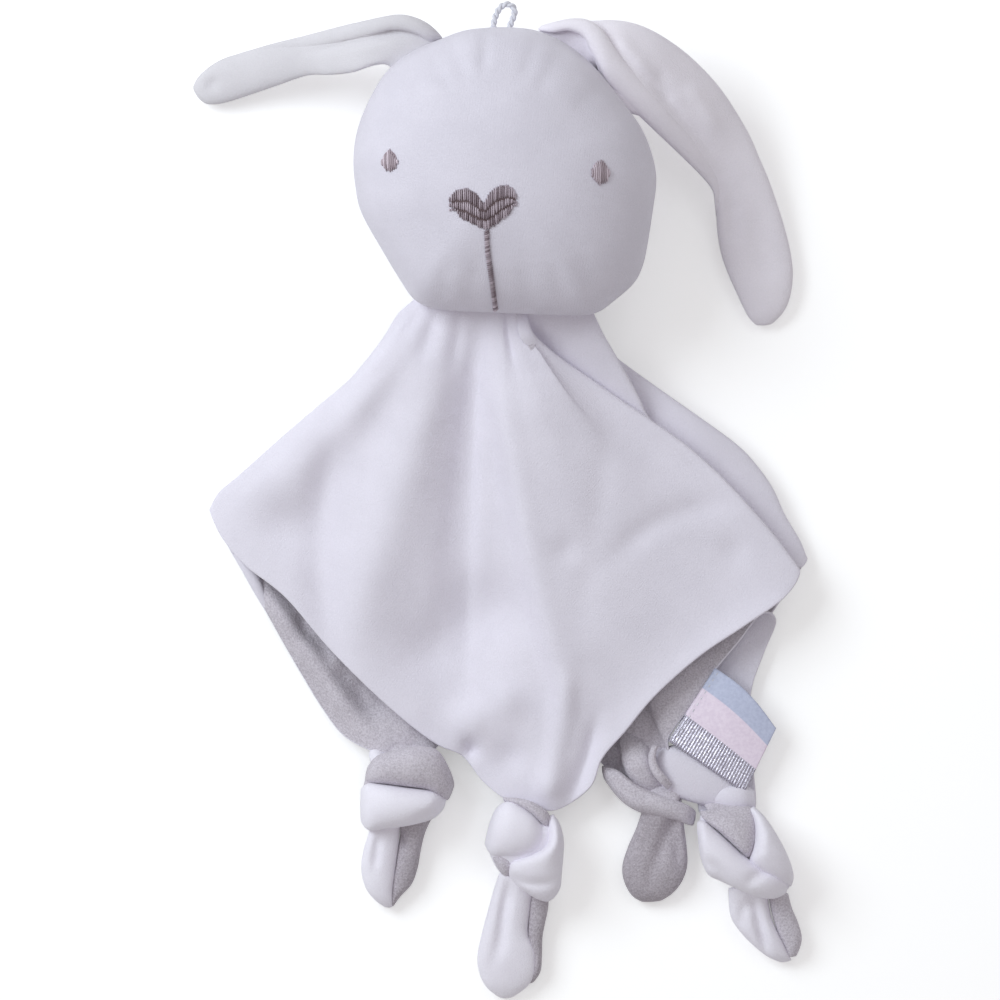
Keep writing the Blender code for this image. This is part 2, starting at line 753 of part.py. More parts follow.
def knot_wrap(name, knot):
    """The turn of cloth round the core: a fat ring with a slanting groove between its two passes."""
    middle_height = knot.height / 2 - FLAT_DEPTH
    radius = min(CORE_RADIUS, knot.height / 4) + 2 * CLEARANCE
    start = waist(knot) - np.array([0.0, CLEARANCE, 0.0]) + heading(knot.heading) * GATHER_LENGTH
    start[2] = middle_height

    def place(u, v):
        turn, pass_turn = 2 * math.pi * u, 2 * math.pi * v
        along_share = (1 - math.cos(pass_turn)) / 2
        bulge = max(math.sin(pass_turn), 0.0) ** WRAP_FULL_SHARE
        off = along_share - 0.5 - GROOVE_SHARES.slant * math.cos(turn)
        groove = GROOVE_SHARES.depth * math.exp(-((off / GROOVE_SHARES.width) ** 2))
        swell = bulge * (1 - groove)
        wide = radius + (knot.width / 2 - radius) * swell
        high = radius + (knot.height / 2 - radius) * swell
        across, up = ellipse_ring(turn, wide, high)
        spot = start + heading(knot.heading) * knot.length * along_share
        spot = spot + heading(knot.heading + 90) * across
        spot[2] = max(middle_height + up, 0.0)
        return spot

    return object_from(name, closed(grid(20, 18, place, round_u=True, round_v=True)))


for corner, knot in KNOTS.items():
    pivot = waist(knot)
    pivot[2] += SHEET_HALF + CLEARANCE
    empty = joint_empty(f"{corner}_knot_joint", pivot)
    finished(knot_core(f"{corner}_knot_tail", knot), VELOUR_SHADE, empty)
    finished(knot_wrap(f"{corner}_knot_wrap", knot), VELOUR_WHITE, empty)


# Ribbon tag

def tag_point(along, across, up):
    """A place on the tag: along it from its seam, across it from the seam's end, and up."""
    foot = seam(0.0) + heading(TAG_HEADING) * along + heading(SEAM_HEADING) * across
    foot[2] += up
    return foot


def ribbon_tag():
    """A ribbon folded double: a U-shaped strip whose two ends go into the hem."""
    half = TAG_FOLD_GAP / 2 + RIBBON_THICKNESS
    bend = TAG_LENGTH - half
    spine = half - RIBBON_THICKNESS / 2

    def place(u, v):
        across = TAG_WIDTH * u
        if LEAF_SHARE < v < 1 - LEAF_SHARE:
            turn = math.pi * (0.5 - (v - LEAF_SHARE) / (1 - 2 * LEAF_SHARE))
            return tag_point(bend + spine * math.cos(turn), across, spine * math.sin(turn))
        along = TAG_SEAM_GAP + (bend - TAG_SEAM_GAP) * min(v, 1 - v) / LEAF_SHARE
        return tag_point(along, across, spine if v < 0.5 else -spine)

    mesh = grid(4, 20, place)
    return thickened(object_from("ribbon_tag", mesh), RIBBON_THICKNESS, 0)


tag_top = TAG_FOLD_GAP / 2 + RIBBON_THICKNESS
tag_axis = joint_empty("ribbon_tag_joint", tag_point(0.0, TAG_WIDTH / 2, SHEET_HALF + CLEARANCE))
finished(ribbon_tag(), RIBBON_PINK, tag_axis)
stitch_up = tag_top + CLEARANCE + STITCH_THREAD / 2
stitches = [
    tag_point(STITCH_INSET, TAG_WIDTH * share, stitch_up) for share in (0.03, 0.25, 0.5, 0.75, 0.97)
]
cord("tag_stitching", stitches, STITCH_THREAD, TAG_THREAD, tag_axis)

bpy.context.view_layer.update()
for obj in toy.objects:
    if obj.type == "EMPTY":
        print(obj.name, "at", tuple(round(value, 4) for value in obj.matrix_world.translation))
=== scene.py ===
# %% [markdown]
# # A comfort blanket with a rabbit's head
#
# The toy is a small square of velour with a stuffed head at its middle and a knot in each corner.
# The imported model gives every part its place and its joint. This lesson dresses those parts in
# fuller shapes and in velour, thread and ribbon, and then lights them.

# %% Load the frame
import math
import random

import bmesh
import bpy
import numpy as np
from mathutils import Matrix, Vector
from mathutils.bvhtree import BVHTree


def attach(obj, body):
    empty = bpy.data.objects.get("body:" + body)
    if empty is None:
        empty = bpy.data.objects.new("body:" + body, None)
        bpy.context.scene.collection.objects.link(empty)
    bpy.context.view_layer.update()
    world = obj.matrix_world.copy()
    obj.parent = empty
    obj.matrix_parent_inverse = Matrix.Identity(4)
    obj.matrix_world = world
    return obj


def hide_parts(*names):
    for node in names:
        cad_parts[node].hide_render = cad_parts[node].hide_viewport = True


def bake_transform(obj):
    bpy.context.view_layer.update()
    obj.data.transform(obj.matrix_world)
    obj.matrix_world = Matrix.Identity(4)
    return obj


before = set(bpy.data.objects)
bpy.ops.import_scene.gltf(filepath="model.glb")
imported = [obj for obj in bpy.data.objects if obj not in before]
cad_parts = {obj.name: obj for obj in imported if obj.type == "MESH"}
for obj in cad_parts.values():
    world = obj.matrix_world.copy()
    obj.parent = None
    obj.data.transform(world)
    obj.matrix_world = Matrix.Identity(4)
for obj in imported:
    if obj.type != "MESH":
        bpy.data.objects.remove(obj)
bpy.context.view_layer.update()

# %% [markdown]
# ## The camera first
#
# The photograph looks straight down from far away. A long lens keeps the toy's edges from leaning
# outwards. Once the camera's height and its view are known, any pixel and any height name one
# point in space, so every outline below can be written as it is read off the photograph.

# %% Camera and the way from pixels to places
PIXEL = 0.00035
PIXEL_MM = PIXEL * 1000
PICTURE = 1000
LENS_MM = 200.0
SENSOR_MM = 36.0
SHARP_HEIGHT = 0.020
CAMERA_HEIGHT = SHARP_HEIGHT + PIXEL * PICTURE * LENS_MM / SENSOR_MM

camera = bpy.data.objects.new("camera", bpy.data.cameras.new("camera"))
bpy.context.scene.collection.objects.link(camera)
camera.data.lens = LENS_MM
camera.data.sensor_width = SENSOR_MM
camera.location = (0.0, 0.0, CAMERA_HEIGHT)
camera.data.clip_end = 10.0
bpy.context.scene.camera = camera


def seen(px, py, mm):
    """The place at a height in millimetres that the camera sees at a pixel."""
    up = np.asarray(mm, float) / 1000
    nearer = (CAMERA_HEIGHT - up) / (CAMERA_HEIGHT - SHARP_HEIGHT) * PIXEL
    right = (np.asarray(px, float) - PICTURE / 2) * nearer
    along = (PICTURE / 2 - np.asarray(py, float)) * nearer
    return np.stack(np.broadcast_arrays(right, along, up), axis=-1)


print("the camera stands", round(CAMERA_HEIGHT, 3), "m above the table")

# %% [markdown]
# ## Smooth lines, folds and meshes
#
# Cloth has no straight lines, so each shape starts from a few points with a smooth curve through
# them. Folds are drawn the same way: a line, how wide the fold is, and how far it rises or sinks.
# A grid of points then becomes a mesh.

# %% Lines through points
FINE_STEPS = 12


def curve_between(a, b, c, d, t):
    """The smooth curve from b to c, in line with the points a before and d after them."""
    bow = (2 * a - 5 * b + 4 * c - d) * t**2 + (3 * b - a - 3 * c + d) * t**3
    return b + 0.5 * ((c - a) * t + bow)


def through(points, count, around=False):
    """A smooth line through the points, cut into even steps."""
    points = np.array(points, float)
    before, after = 2 * points[0] - points[1], 2 * points[-1] - points[-2]
    ends = [points[-1:], points[:2]] if around else [before[None], after[None]]
    line = np.vstack([ends[0], points, ends[1]])
    t = np.linspace(0, 1, FINE_STEPS, endpoint=False)[:, None]
    fine = [curve_between(*four, t) for four in zip(line, line[1:], line[2:], line[3:])]
    fine = np.vstack([*fine, line[-2][None]])
    run = np.linalg.norm(np.diff(fine[:, :4], axis=0), axis=1)
    reach = np.concatenate([[0.0], np.cumsum(run)])
    at = np.linspace(0, reach[-1], count + 1)
    return np.stack([np.interp(at, reach, column) for column in fine.T], axis=1)


# %% Folds as lines with a height
def nearest(px, py, line):
    """How far each pixel is from a line, on which side, and how far along."""
    spots = np.stack([px.ravel(), py.ravel()], axis=1)
    step = np.diff(line, axis=0)
    gap = spots[:, None] - line[:-1]
    share = np.clip((gap * step).sum(-1) / (step**2).sum(-1), 0, 1)
    off = gap - share[..., None] * step
    far = np.linalg.norm(off, axis=-1)
    best = far.argmin(1)
    row = np.arange(len(spots))
    side = step[best, 0] * off[row, best, 1] - step[best, 1] * off[row, best, 0]
    along = (best + share[row, best]) / len(step)
    return [part.reshape(px.shape) for part in (far[row, best], np.sign(side), along)]


FADE_SHARE = 0.3
END_HEIGHT_SHARE = 0.2


def relief(px, py, folds):
    """Millimetres that the folds add. One point is a round dimple. A fold with a reach is a rolled
    edge, which rises on one side. A fold sinks to a small share of its height at both ends."""
    total = np.zeros_like(px)
    for line, width, rise, *reach in folds:
        if len(line) == 1:
            total += rise * np.exp(-((px - line[0][0]) ** 2 + (py - line[0][1]) ** 2) / width**2)
            continue
        far, side, along = nearest(px, py, through(line, 24))
        ends = np.clip(np.minimum(along, 1 - along) / FADE_SHARE, 0, 1)
        fade = ends**2 * (3 - 2 * ends)
        shape = np.exp(-((far / width) ** 2)) * (END_HEIGHT_SHARE + (1 - END_HEIGHT_SHARE) * fade)
        if reach:
            past = far * side
            shape = np.exp(-((np.maximum(past, 0) / reach[0]) ** 2)) / (1 + np.exp(-past / width)) * fade
        total += rise * shape
    return total


# %% A mesh from a grid of points
def mesh_of(name, points, around=False, capped=False):
    rows, columns = points.shape[:2]
    mesh = bmesh.new()
    corners = [[mesh.verts.new(spot) for spot in row] for row in points]
    grain = mesh.loops.layers.uv.new("grain")
    for i in range(rows - 1):
        for j in range(columns if around else columns - 1):
            k = (j + 1) % columns
            face = mesh.faces.new((corners[i][j], corners[i][k], corners[i + 1][k], corners[i + 1][j]))
            for loop, (u, v) in zip(face.loops, ((j, i), (j + 1, i), (j + 1, i + 1), (j, i + 1))):
                loop[grain].uv = (u / columns, v / rows)
    if capped:
        mesh.faces.new(corners[0])
        mesh.faces.new(corners[-1])
        bmesh.ops.recalc_face_normals(mesh, faces=mesh.faces)
    data = bpy.data.meshes.new(name)
    mesh.to_mesh(data)
    mesh.free()
    data.shade_smooth()
    piece = bpy.data.objects.new(name, data)
    bpy.context.scene.collection.objects.link(piece)
    return piece


def softened(piece, levels=1):
    smooth = piece.modifiers.new("soft", "SUBSURF")
    smooth.levels = levels
    smooth.render_levels = levels
    return piece


print("a smooth line through three points has", len(through([(0, 0), (5, 1), (9, 0)], 8)), "places")

# %% [markdown]
# ## Finishes from nodes
#
# A small class stands for one output of a node. Adding or multiplying two of them makes the math
# node that does it, which keeps a finish as short as its formula.

# %% One class for node outputs
class Wire:
    """An output socket. Arithmetic on it makes math nodes, and node() makes any other node."""

    def __init__(self, tree, socket=None):
        self.tree = tree
        self.socket = socket

    def node(self, kind, settings=None, inputs=None, out=0):
        made = self.tree.nodes.new(kind)
        for name, value in (settings or {}).items():
            setattr(made, name, value)
        for name, value in (inputs or {}).items():
            if isinstance(value, Wire):
                self.tree.links.new(value.socket, made.inputs[name])
            else:
                made.inputs[name].default_value = value
        return Wire(self.tree, made.outputs[out])

    def math(self, operation, first, second):
        vectors = any(isinstance(x, Wire) and x.socket.type == "VECTOR" for x in (first, second))
        kind = "ShaderNodeVectorMath" if vectors else "ShaderNodeMath"
        if vectors:
            first, second = [x if isinstance(x, Wire) else (x, x, x) for x in (first, second)]
        return self.node(kind, {"operation": operation}, {0: first, 1: second})

    def __add__(self, other):
        return self.math("ADD", self, other)

    def __sub__(self, other):
        return self.math("SUBTRACT", self, other)

    def __mul__(self, other):
        return self.math("MULTIPLY", self, other)

    def __truediv__(self, other):
        return self.math("DIVIDE", self, other)

    def __rsub__(self, other):
        return self.math("SUBTRACT", other, self)

    __radd__ = __add__
    __rmul__ = __mul__

    def between(self, low, high):
        """0 below low, 1 above high, and a smooth way between."""
        limits = {"From Min": low, "From Max": high, "Value": self}
        return self.node("ShaderNodeMapRange", {"interpolation_type": "SMOOTHSTEP"}, limits)

    def colours(self, first, second):
        """The first colour where this is 0, and the second where it is 1."""
        ends = [x if isinstance(x, Wire) else (*x, 1.0) for x in (first, second)]
        return self.node("ShaderNodeMix", {"data_type": "RGBA"}, {0: self, 6: ends[0], 7: ends[1]}, 2)

    def noise(self, scale, detail=2.0):
        return self.node("ShaderNodeTexNoise", None, {"Vector": self, "Scale": scale, "Detail": detail})

    def bump(self, height, strength, distance):
        values = {"Strength": strength, "Distance": distance, "Height": height}
        return self.node("ShaderNodeBump", None, values)


def paint(red, green, blue):
    """A colour as read off the photograph, from 0 to 255, as linear light."""
    shares = [value / 255 for value in (red, green, blue)]
    return tuple(s / 12.92 if s < 0.04045 else ((s + 0.055) / 1.055) ** 2.4 for s in shares)


def finish(name, build, **constants):
    """A material: build gives the sockets that vary, and the rest are constants."""
    material = bpy.data.materials.new(name)
    material.use_nodes = True
    shader = material.node_tree.nodes["Principled BSDF"]
    for key, value in constants.items():
        shader.inputs[key.replace("_", " ")].default_value = value
    for key, wire in build(Wire(material.node_tree)).items():
        material.node_tree.links.new(wire.socket, shader.inputs[key])
    return material


# %% [markdown]
# ### Velour and its grey lining
#
# Velour is a knit with its loops cut, so it shows a short dull pile over faint ribs. The pile lies
# in patches that catch the light differently. The lining is a heather yarn: grey with pale flecks.

# %% Velour
def velour(name, pale, dull, rib_turn):
    def build(wire):
        place = wire.node("ShaderNodeTexCoord", out=3)
        turned = wire.node(
            "ShaderNodeMapping", None, {"Vector": place, "Rotation": (0.0, 0.0, math.radians(rib_turn))}
        )
        clouds = place.noise(60.0, 2.0)
        pile = place.noise(1700.0, 3.0)
        grit = place.noise(3600.0, 1.0)
        ribs = wire.node("ShaderNodeTexWave", None, {"Vector": turned, "Scale": 349.0, "Distortion": 1.2})
        lie = (clouds * 0.55 + pile * 0.45).between(0.34, 0.66)
        colour = lie.colours(dull, pale)
        height = pile * 0.55 + grit * 0.5 + ribs * 0.05 + clouds * 0.15
        return {"Base Color": colour, "Normal": wire.bump(height, 0.55, 0.00055)}

    return finish(name, build, Roughness=0.92, Sheen_Weight=0.3, Sheen_Roughness=0.45)


# One white velour in several copies. The blanket's white is the base. The head and the left ear get
# darker copies as painted shade, and the right ear and the knots get lighter copies as painted light.
WHITE = paint(238, 234, 245), paint(232, 228, 239)
SHADED_WHITE = paint(226, 222, 233), paint(219, 215, 226)
SHADED_LEFT_EAR_WHITE = paint(223, 220, 225), paint(217, 214, 219)
LIT_RIGHT_EAR_WHITE = paint(244, 239, 247), paint(238, 233, 241)
LIT_KNOT_WHITE = paint(248, 245, 254), paint(243, 239, 249)
head_velour = velour("velour_head_painted_shade", *SHADED_WHITE, 8.0)
ear_velour = velour("velour_right_ear_painted_light", *LIT_RIGHT_EAR_WHITE, 65.0)
left_ear_velour = velour("velour_left_ear_painted_shade", *SHADED_LEFT_EAR_WHITE, 20.0)
blanket_velour = velour("velour_blanket", *WHITE, 38.0)
knot_velour = velour("velour_knots_painted_light", *LIT_KNOT_WHITE, 50.0)


# %% Lining
def heather(name, dark, light, fleck):
    def build(wire):
        place = wire.node("ShaderNodeTexCoord", out=3)
        yarn = place.noise(1500.0, 4.0)
        flecks = place.noise(2600.0, 2.0)
        clouds = place.noise(70.0, 2.0)
        grey = (yarn * 0.75 + clouds * 0.25).between(0.32, 0.68).colours(dark, light)
        colour = flecks.between(0.58, 0.78).colours(grey, fleck)
        return {"Base Color": colour, "Normal": wire.bump(yarn + flecks * 0.6, 0.6, 0.0006)}

    return finish(name, build, Roughness=0.93, Sheen_Weight=0.2, Sheen_Roughness=0.5)


lining = heather("heather_lining", paint(190, 183, 192), paint(222, 216, 225), paint(238, 235, 242))
# The same lining made darker for the left, centre and back tails, as painted shade.
tail_lining = heather(
    "heather_lining_tails_painted_shade", paint(168, 160, 168), paint(200, 193, 201), paint(226, 222, 229),
)


def slot_of(cloth_finish):
    return "grey_velour" if cloth_finish in (lining, tail_lining) else "white_velour"


# %% Thread, cord and stitches
def satin(dark, light):
    def build(wire):
        place = wire.node("ShaderNodeTexCoord", out=3)
        strand = wire.node("ShaderNodeAttribute", {"attribute_name": "strand"}, out=2)
        fibre = place.noise(2400.0, 2.0)
        colour = (strand * 0.7 + fibre * 0.3).between(0.05, 0.95).colours(dark, light)
        return {"Base Color": colour, "Normal": wire.bump(fibre, 0.4, 0.0003)}

    return build


thread = finish("taupe_thread", satin(paint(124, 108, 116), paint(198, 184, 194)), Roughness=0.42)
# The nose's underlay is thread of its own, painted darker than the threads above it as painted shade in
# the gaps between the stitches.
underlay_painted_shade = finish("taupe_underlay_painted_shade", satin(paint(92, 74, 76), paint(128, 108, 110)), Roughness=0.7)
eye_thread = finish(
    "light_taupe_thread",
    satin(paint(158, 142, 150), paint(226, 212, 222)),
    Roughness=0.42,
)
eye_base = finish("light_underlay", satin(paint(166, 148, 156), paint(196, 178, 188)), Roughness=0.7)
cotton = finish("cotton_cord", satin(paint(206, 206, 214), paint(238, 238, 246)), Roughness=0.75)
print("finishes:", [m.name for m in bpy.data.materials if m.use_nodes][-7:])


# %% Dressing a piece
def dress(piece, material, slot, *nodes):
    piece.data.materials.clear()
    piece.data.materials.append(material)
    if nodes:
        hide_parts(*nodes)
    return piece


# %% [markdown]
# ## The head
#
# Two panels are sewn together and stuffed, which makes a full dome on each side of a seam. A ring
# of rows runs from the face over the seam to the back. The outline is the photograph's, and the
# back is pressed flat where the toy lies on it.

# %% Head outline
HEAD_CENTRE = (505, 172)
HEAD_MIDDLE_MM = 35.5
HEAD_HALF_MM = 36.0
HEAD_DOME_POWER = 0.9
SEAM_DEPTH_SHARE = 0.004
SEAM_WIDTH = 0.045
HEAD_OUTLINE = (
    (657, 180), (654, 206), (649, 239), (644, 264), (635, 283), (614, 301.5), (594, 314.5), (558, 315.5),
    (497, 313), (440, 310), (415, 301), (401, 282), (381, 249), (361, 213), (355, 187), (353, 156),
    (358, 126), (372, 93), (389, 68), (414, 50), (442, 38), (464, 30), (490, 27), (514, 27),
    (540, 31), (570, 46), (597, 69), (628, 108), (643, 130), (653, 156),
)
rim = through(HEAD_OUTLINE, 180, around=True)[:-1] - HEAD_CENTRE
rim_turns = np.arctan2(-rim[:, 1], rim[:, 0])
rim_order = np.argsort(rim_turns)
rim_turns, rim_reach = rim_turns[rim_order], np.hypot(rim[:, 0], rim[:, 1])[rim_order]


def head_reach(turn):
    """Pixels from the middle of the head to its outline."""
    return np.interp(np.angle(np.exp(1j * turn)), rim_turns, rim_reach, period=2 * np.pi)


def head_skin(turn, tilt, lift_mm=0.0):
    """Pixel and height of the skin: turn goes round the outline, tilt from the face to the back."""
    out = head_reach(turn) * np.sin(tilt) + lift_mm / PIXEL_MM * np.sin(tilt)
    rise = np.sign(np.cos(tilt)) * np.abs(np.cos(tilt)) ** HEAD_DOME_POWER
    high = HEAD_MIDDLE_MM + (HEAD_HALF_MM + lift_mm) * rise
    return HEAD_CENTRE[0] + out * np.cos(turn), HEAD_CENTRE[1] - out * np.sin(turn), high


# %% Head skin with its seam and small pulls
HEAD_FOLDS = (
    (((484, 26), (485, 48), (482, 74)), 5, -1.5),
    (((450, 36), (457, 58), (468, 84)), 7, -0.8),
    (((424, 44), (437, 68), (452, 94)), 8, -0.6),
    (((538, 28), (531, 54), (522, 82)), 7, -0.8),
    (((564, 42), (551, 68), (536, 96)), 8, -0.6),
    (((396, 70), (414, 90), (434, 112)), 9, -0.5),
    (((610, 78), (592, 96), (572, 116)), 9, -0.5),
    (((438, 312), (443, 286), (452, 254)), 8, -0.6),
    (((470, 314), (472, 290), (476, 262)), 8, -0.5),
    (((532, 314), (528, 290), (524, 262)), 8, -0.5),
    (((568, 312), (562, 288), (552, 258)), 8, -0.6),
    (((600, 306), (588, 282), (574, 254)), 9, -0.6),
)
head_turn, head_tilt = np.meshgrid(
    np.linspace(-np.pi, np.pi, 144, endpoint=False),
    np.linspace(0.004, np.pi - 0.004, 90),
)
head_px, head_py, head_mm = head_skin(head_turn, head_tilt)
seam_pull = 1 - SEAM_DEPTH_SHARE * np.exp(-(((head_tilt - np.pi / 2) / SEAM_WIDTH) ** 2))
head_px = HEAD_CENTRE[0] + (head_px - HEAD_CENTRE[0]) * seam_pull
head_py = HEAD_CENTRE[1] + (head_py - HEAD_CENTRE[1]) * seam_pull
head_mm = np.maximum(head_mm + relief(head_px, head_py, HEAD_FOLDS) * (head_mm > HEAD_MIDDLE_MM), 0.1)
head = mesh_of("stuffed_head", seen(head_px, head_py, head_mm), around=True, capped=True)
dress(softened(head), head_velour, "white_velour", "head_front_panel", "head_back_panel", "head_filling")
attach(head, "head")
print("the head has", len(head.data.vertices), "points")

# %% [markdown]
# ## The face
#
# The face is satin stitch: threads laid side by side over an underlay. Under the nose the underlay
# is painted darker than the thread, as the shade in the gaps between stitches. Each thread is a
# small tube that follows the skin below it, so the face is found by looking down at the head
# along the camera's own lines.

# %% Places on the skin
skin_tree = BVHTree.FromPolygons(
    [corner.co for corner in head.data.vertices], [tuple(face.vertices) for face in head.data.polygons]
)
eye_point = Vector(camera.location)


def on_skin(px, py):
    """The place and the outward direction of the head's skin under a pixel."""
    ray = Vector(seen(px, py, 0.0)) - eye_point
    spot, out, _, _ = skin_tree.ray_cast(eye_point, ray.normalized())
    if spot is None:
        return seen(px, py, HEAD_MIDDLE_MM), np.array([0.0, 0.0, 1.0])
    return np.array(spot), np.array(out)


# %% Threads as small tubes
def tubes(name, paths, outs, radii, sides=6):
    """One mesh of round threads. Each path is a line of places, with an outward direction each."""
    spots, faces, tones = [], [], []
    for path, out, radius in zip(paths, outs, radii):
        path, out = np.array(path), np.array(out)
        way = np.gradient(path, axis=0)
        way /= np.linalg.norm(way, axis=1)[:, None]
        side = np.cross(way, out)
        side /= np.linalg.norm(side, axis=1)[:, None]
        up = np.cross(side, way)
        first, tone = len(spots), random.random()
        for at in range(len(path)):
            for turn in np.arange(sides) * 2 * math.pi / sides:
                spots.append(
                    path[at] + radius[at] * (side[at] * math.cos(turn) + up[at] * math.sin(turn)),
                )
                tones.append(tone)
        for at in range(len(path) - 1):
            for j in range(sides):
                a, b = first + at * sides + j, first + at * sides + (j + 1) % sides
                faces.append((a, b, b + sides, a + sides))
        faces.append(tuple(range(first + sides - 1, first - 1, -1)))
        faces.append(tuple(range(len(spots) - sides, len(spots))))
    data = bpy.data.meshes.new(name)
    data.from_pydata([tuple(spot) for spot in spots], [], faces)
    data.attributes.new("strand", "FLOAT", "POINT").data.foreach_set("value", np.array(tones, np.float32))
    data.shade_smooth()
    piece = bpy.data.objects.new(name, data)
    bpy.context.scene.collection.objects.link(piece)
    return piece


THREAD_END_LIFT_MM = 0.22
THREAD_END_SHARE = 0.45


def satin_stitches(name, stitches, width_px, rise_mm=0.35):
    """Threads over the skin between pairs of pixels, each a little higher in its middle."""
    share = np.linspace(0, 1, 7)
    bow = np.sin(np.pi * share)
    paths, outs, radii = [], [], []
    for (x0, y0), (x1, y1) in stitches:
        spots = [on_skin(x0 + (x1 - x0) * s, y0 + (y1 - y0) * s) for s in share]
        out = np.array([o for _, o in spots])
        lift = (THREAD_END_LIFT_MM + rise_mm * bow)[:, None] / 1000
        paths.append(np.array([p for p, _ in spots]) + out * lift)
        outs.append(out)
        radii.append(width_px / 2 * PIXEL * (THREAD_END_SHARE + (1 - THREAD_END_SHARE) * bow**0.4))
    return tubes(name, paths, outs, radii)


# %% Underlay patches
UNDERLAY_LIFT = 0.00022


def underlay(name, outline):
    """A thin patch under the threads, raised a hair above the skin."""
    line = through(outline, 40, around=True)[:-1]
    middle = line.mean(0)
    rows = []
    for share in (1.0, 0.75, 0.5, 0.25, 0.02):
        ring = middle + (line - middle) * share
        rows.append([spot + out * UNDERLAY_LIFT for spot, out in (on_skin(*p) for p in ring)])
    return mesh_of(name, np.array(rows), around=True)


# %% Eyes
EYE_STITCH_STEP = 1.85
random.seed(7)


def eye_stitches(middle, half_width, top, bottom, point):
    """Upright threads of an eye. A larger point makes its top narrower."""
    stitches = []
    for x in np.arange(middle - half_width + 1.0, middle + half_width - 0.4, EYE_STITCH_STEP):
        off = min(abs(x - middle) / half_width, 0.97)
        high = (1 - off**point) * (top[1] - top[0])
        low = math.sqrt(1 - off**2) * (bottom[1] - bottom[0])
        jag = random.uniform(-1.2, 1.2)
        stitches.append(((x, top[1] - high + jag * 0.5), (x + 0.3, bottom[0] + low + jag)))
    return stitches


def oval(middle, half_width, top, bottom):
    turns = np.linspace(0, 2 * np.pi, 16, endpoint=False)
    y, half = (top + bottom) / 2, (bottom - top) / 2
    return [(middle + half_width * math.cos(t), y + half * math.sin(t)) for t in turns]


EYES = {
    "left": (eye_stitches(390.0, 8.2, (148.5, 161), (161, 172), 1.15), oval(390, 7.0, 151, 170)),
    "right": (eye_stitches(600.0, 9.2, (160, 171), (171, 185), 1.9), oval(600, 8.0, 162, 183)),
}
for side, (stitches, patch) in EYES.items():
    eye = satin_stitches(f"{side}_eye", stitches, 2.3)
    dress(eye, eye_thread, "taupe_thread", f"{side}_eye_embroidery")
    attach(eye, "head")
    base = underlay(f"{side}_eye_underlay", patch)
    dress(base, eye_base, "taupe_thread")
    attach(base, "head")

# %% [markdown]
# The nose is a heart in three nested rows of upright stitches, and the mouth is one line of short
# stitches laid across it.

# %% Nose
NOSE_LINES = (
    (
        (448.5, 200), (453, 192), (460, 188), (468, 188), (477, 193), (483, 202), (488, 194), (496, 187),
        (506, 184), (514, 189), (518, 199),
    ),
    ((450, 203), (458, 201), (470, 203), (484, 211), (496, 202), (508, 198), (517, 200)),
    ((453, 208), (464, 211), (485, 220), (503, 209), (515, 203)),
    ((455, 211), (462, 219), (474, 225), (487, 230), (500, 222), (509, 215), (514, 207)),
)
nose_x = np.arange(450, 517.5, 2.0)
nose_y = [np.interp(nose_x, *through(line, 60).T) for line in NOSE_LINES]
nose_stitches = []
for upper, lower in zip(nose_y, nose_y[1:]):
    for x, y0, y1 in zip(nose_x, upper, lower):
        if y1 - y0 > 2.5:
            jag = random.uniform(-0.7, 0.7)
            nose_stitches.append(((x, y0 + 0.5 + jag), (x + random.uniform(-0.5, 0.5), y1 - 0.5 + jag)))
nose = satin_stitches("nose", nose_stitches, 1.75, 0.3)
dress(nose, thread, "taupe_thread", "nose_embroidery")
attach(nose, "head")
NOSE_HEART = (
    (451, 200), (458, 191), (468, 190), (478, 196), (484, 205), (489, 197), (498, 188), (508, 187),
    (516, 198), (508, 213), (487, 227), (463, 217),
)
nose_base = underlay("nose_underlay", NOSE_HEART)
dress(nose_base, underlay_painted_shade, "taupe_thread")
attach(nose_base, "head")

# %% Mouth
MOUTH = ((486.6, 231), (487.6, 250), (490.4, 270), (493.2, 290), (495.6, 309))
mouth_line = through(MOUTH, 40)
mouth_stitches = [((x - 2.5, y + 1.1), (x + 2.5, y - 1.1)) for x, y in mouth_line]
mouth = satin_stitches("mouth", mouth_stitches, 2.0, 0.4)
dress(mouth, thread, "taupe_thread", "mouth_embroidery")
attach(mouth, "head")
print("the face has", len(nose_stitches) + len(mouth_stitches), "stitches in its nose and mouth")

# %% [markdown]
# ## The hanger loop
#
# A short cotton cord is sewn into the crown. Two plies wind round each other, so the loop is two
# tubes that swap sides as they go.

# %% Loop
LOOP = (
    (494, 34), (493.5, 25), (496, 15), (500.5, 7.5), (507, 4.2), (513.4, 7.4), (514.4, 14), (511, 23),
    (507, 34),
)
LOOP_MM = 36.8
PLY_RADIUS = 0.00062
PLY_OFFSET = 0.00052
PLY_PITCH = 0.0042
loop_line = through(LOOP, 120)
loop_places = seen(loop_line[:, 0], loop_line[:, 1], LOOP_MM)
loop_way = np.gradient(loop_places, axis=0)
loop_way /= np.linalg.norm(loop_way, axis=1)[:, None]
loop_side = np.cross(loop_way, (0.0, 0.0, 1.0))
loop_run = np.concatenate([[0.0], np.cumsum(np.linalg.norm(np.diff(loop_places, axis=0), axis=1))])
plies = []
for start in (0.0, math.pi):
    wind = (loop_run / PLY_PITCH * 2 * math.pi + start)[:, None]
    plies.append(
        loop_places + PLY_OFFSET * (loop_side * np.cos(wind) + np.array([0.0, 0.0, 1.0]) * np.sin(wind)),
    )
upright = np.tile((0.0, 0.0, 1.0), (len(loop_places), 1))
loop = tubes("hanger_cord", plies, [upright] * 2, [np.full(len(upright), PLY_RADIUS)] * 2, sides=10)
dress(loop, cotton, "white_cord", "hanger_loop")
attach(loop, "hanger_loop")
print("the cord of the loop is", round(1000 * loop_run[-1], 1), "mm long")

# %% [markdown]
# ## Padded strips
#
# Ears, knots and tails are all strips of doubled velour with some fullness. One function makes
# them: it takes the two edges as they are seen, the height of the strip and half its thickness,
# and draws an oval between the edges at every step.

# %% Strip between two edges
LOWEST_STRIP_MM = 0.3


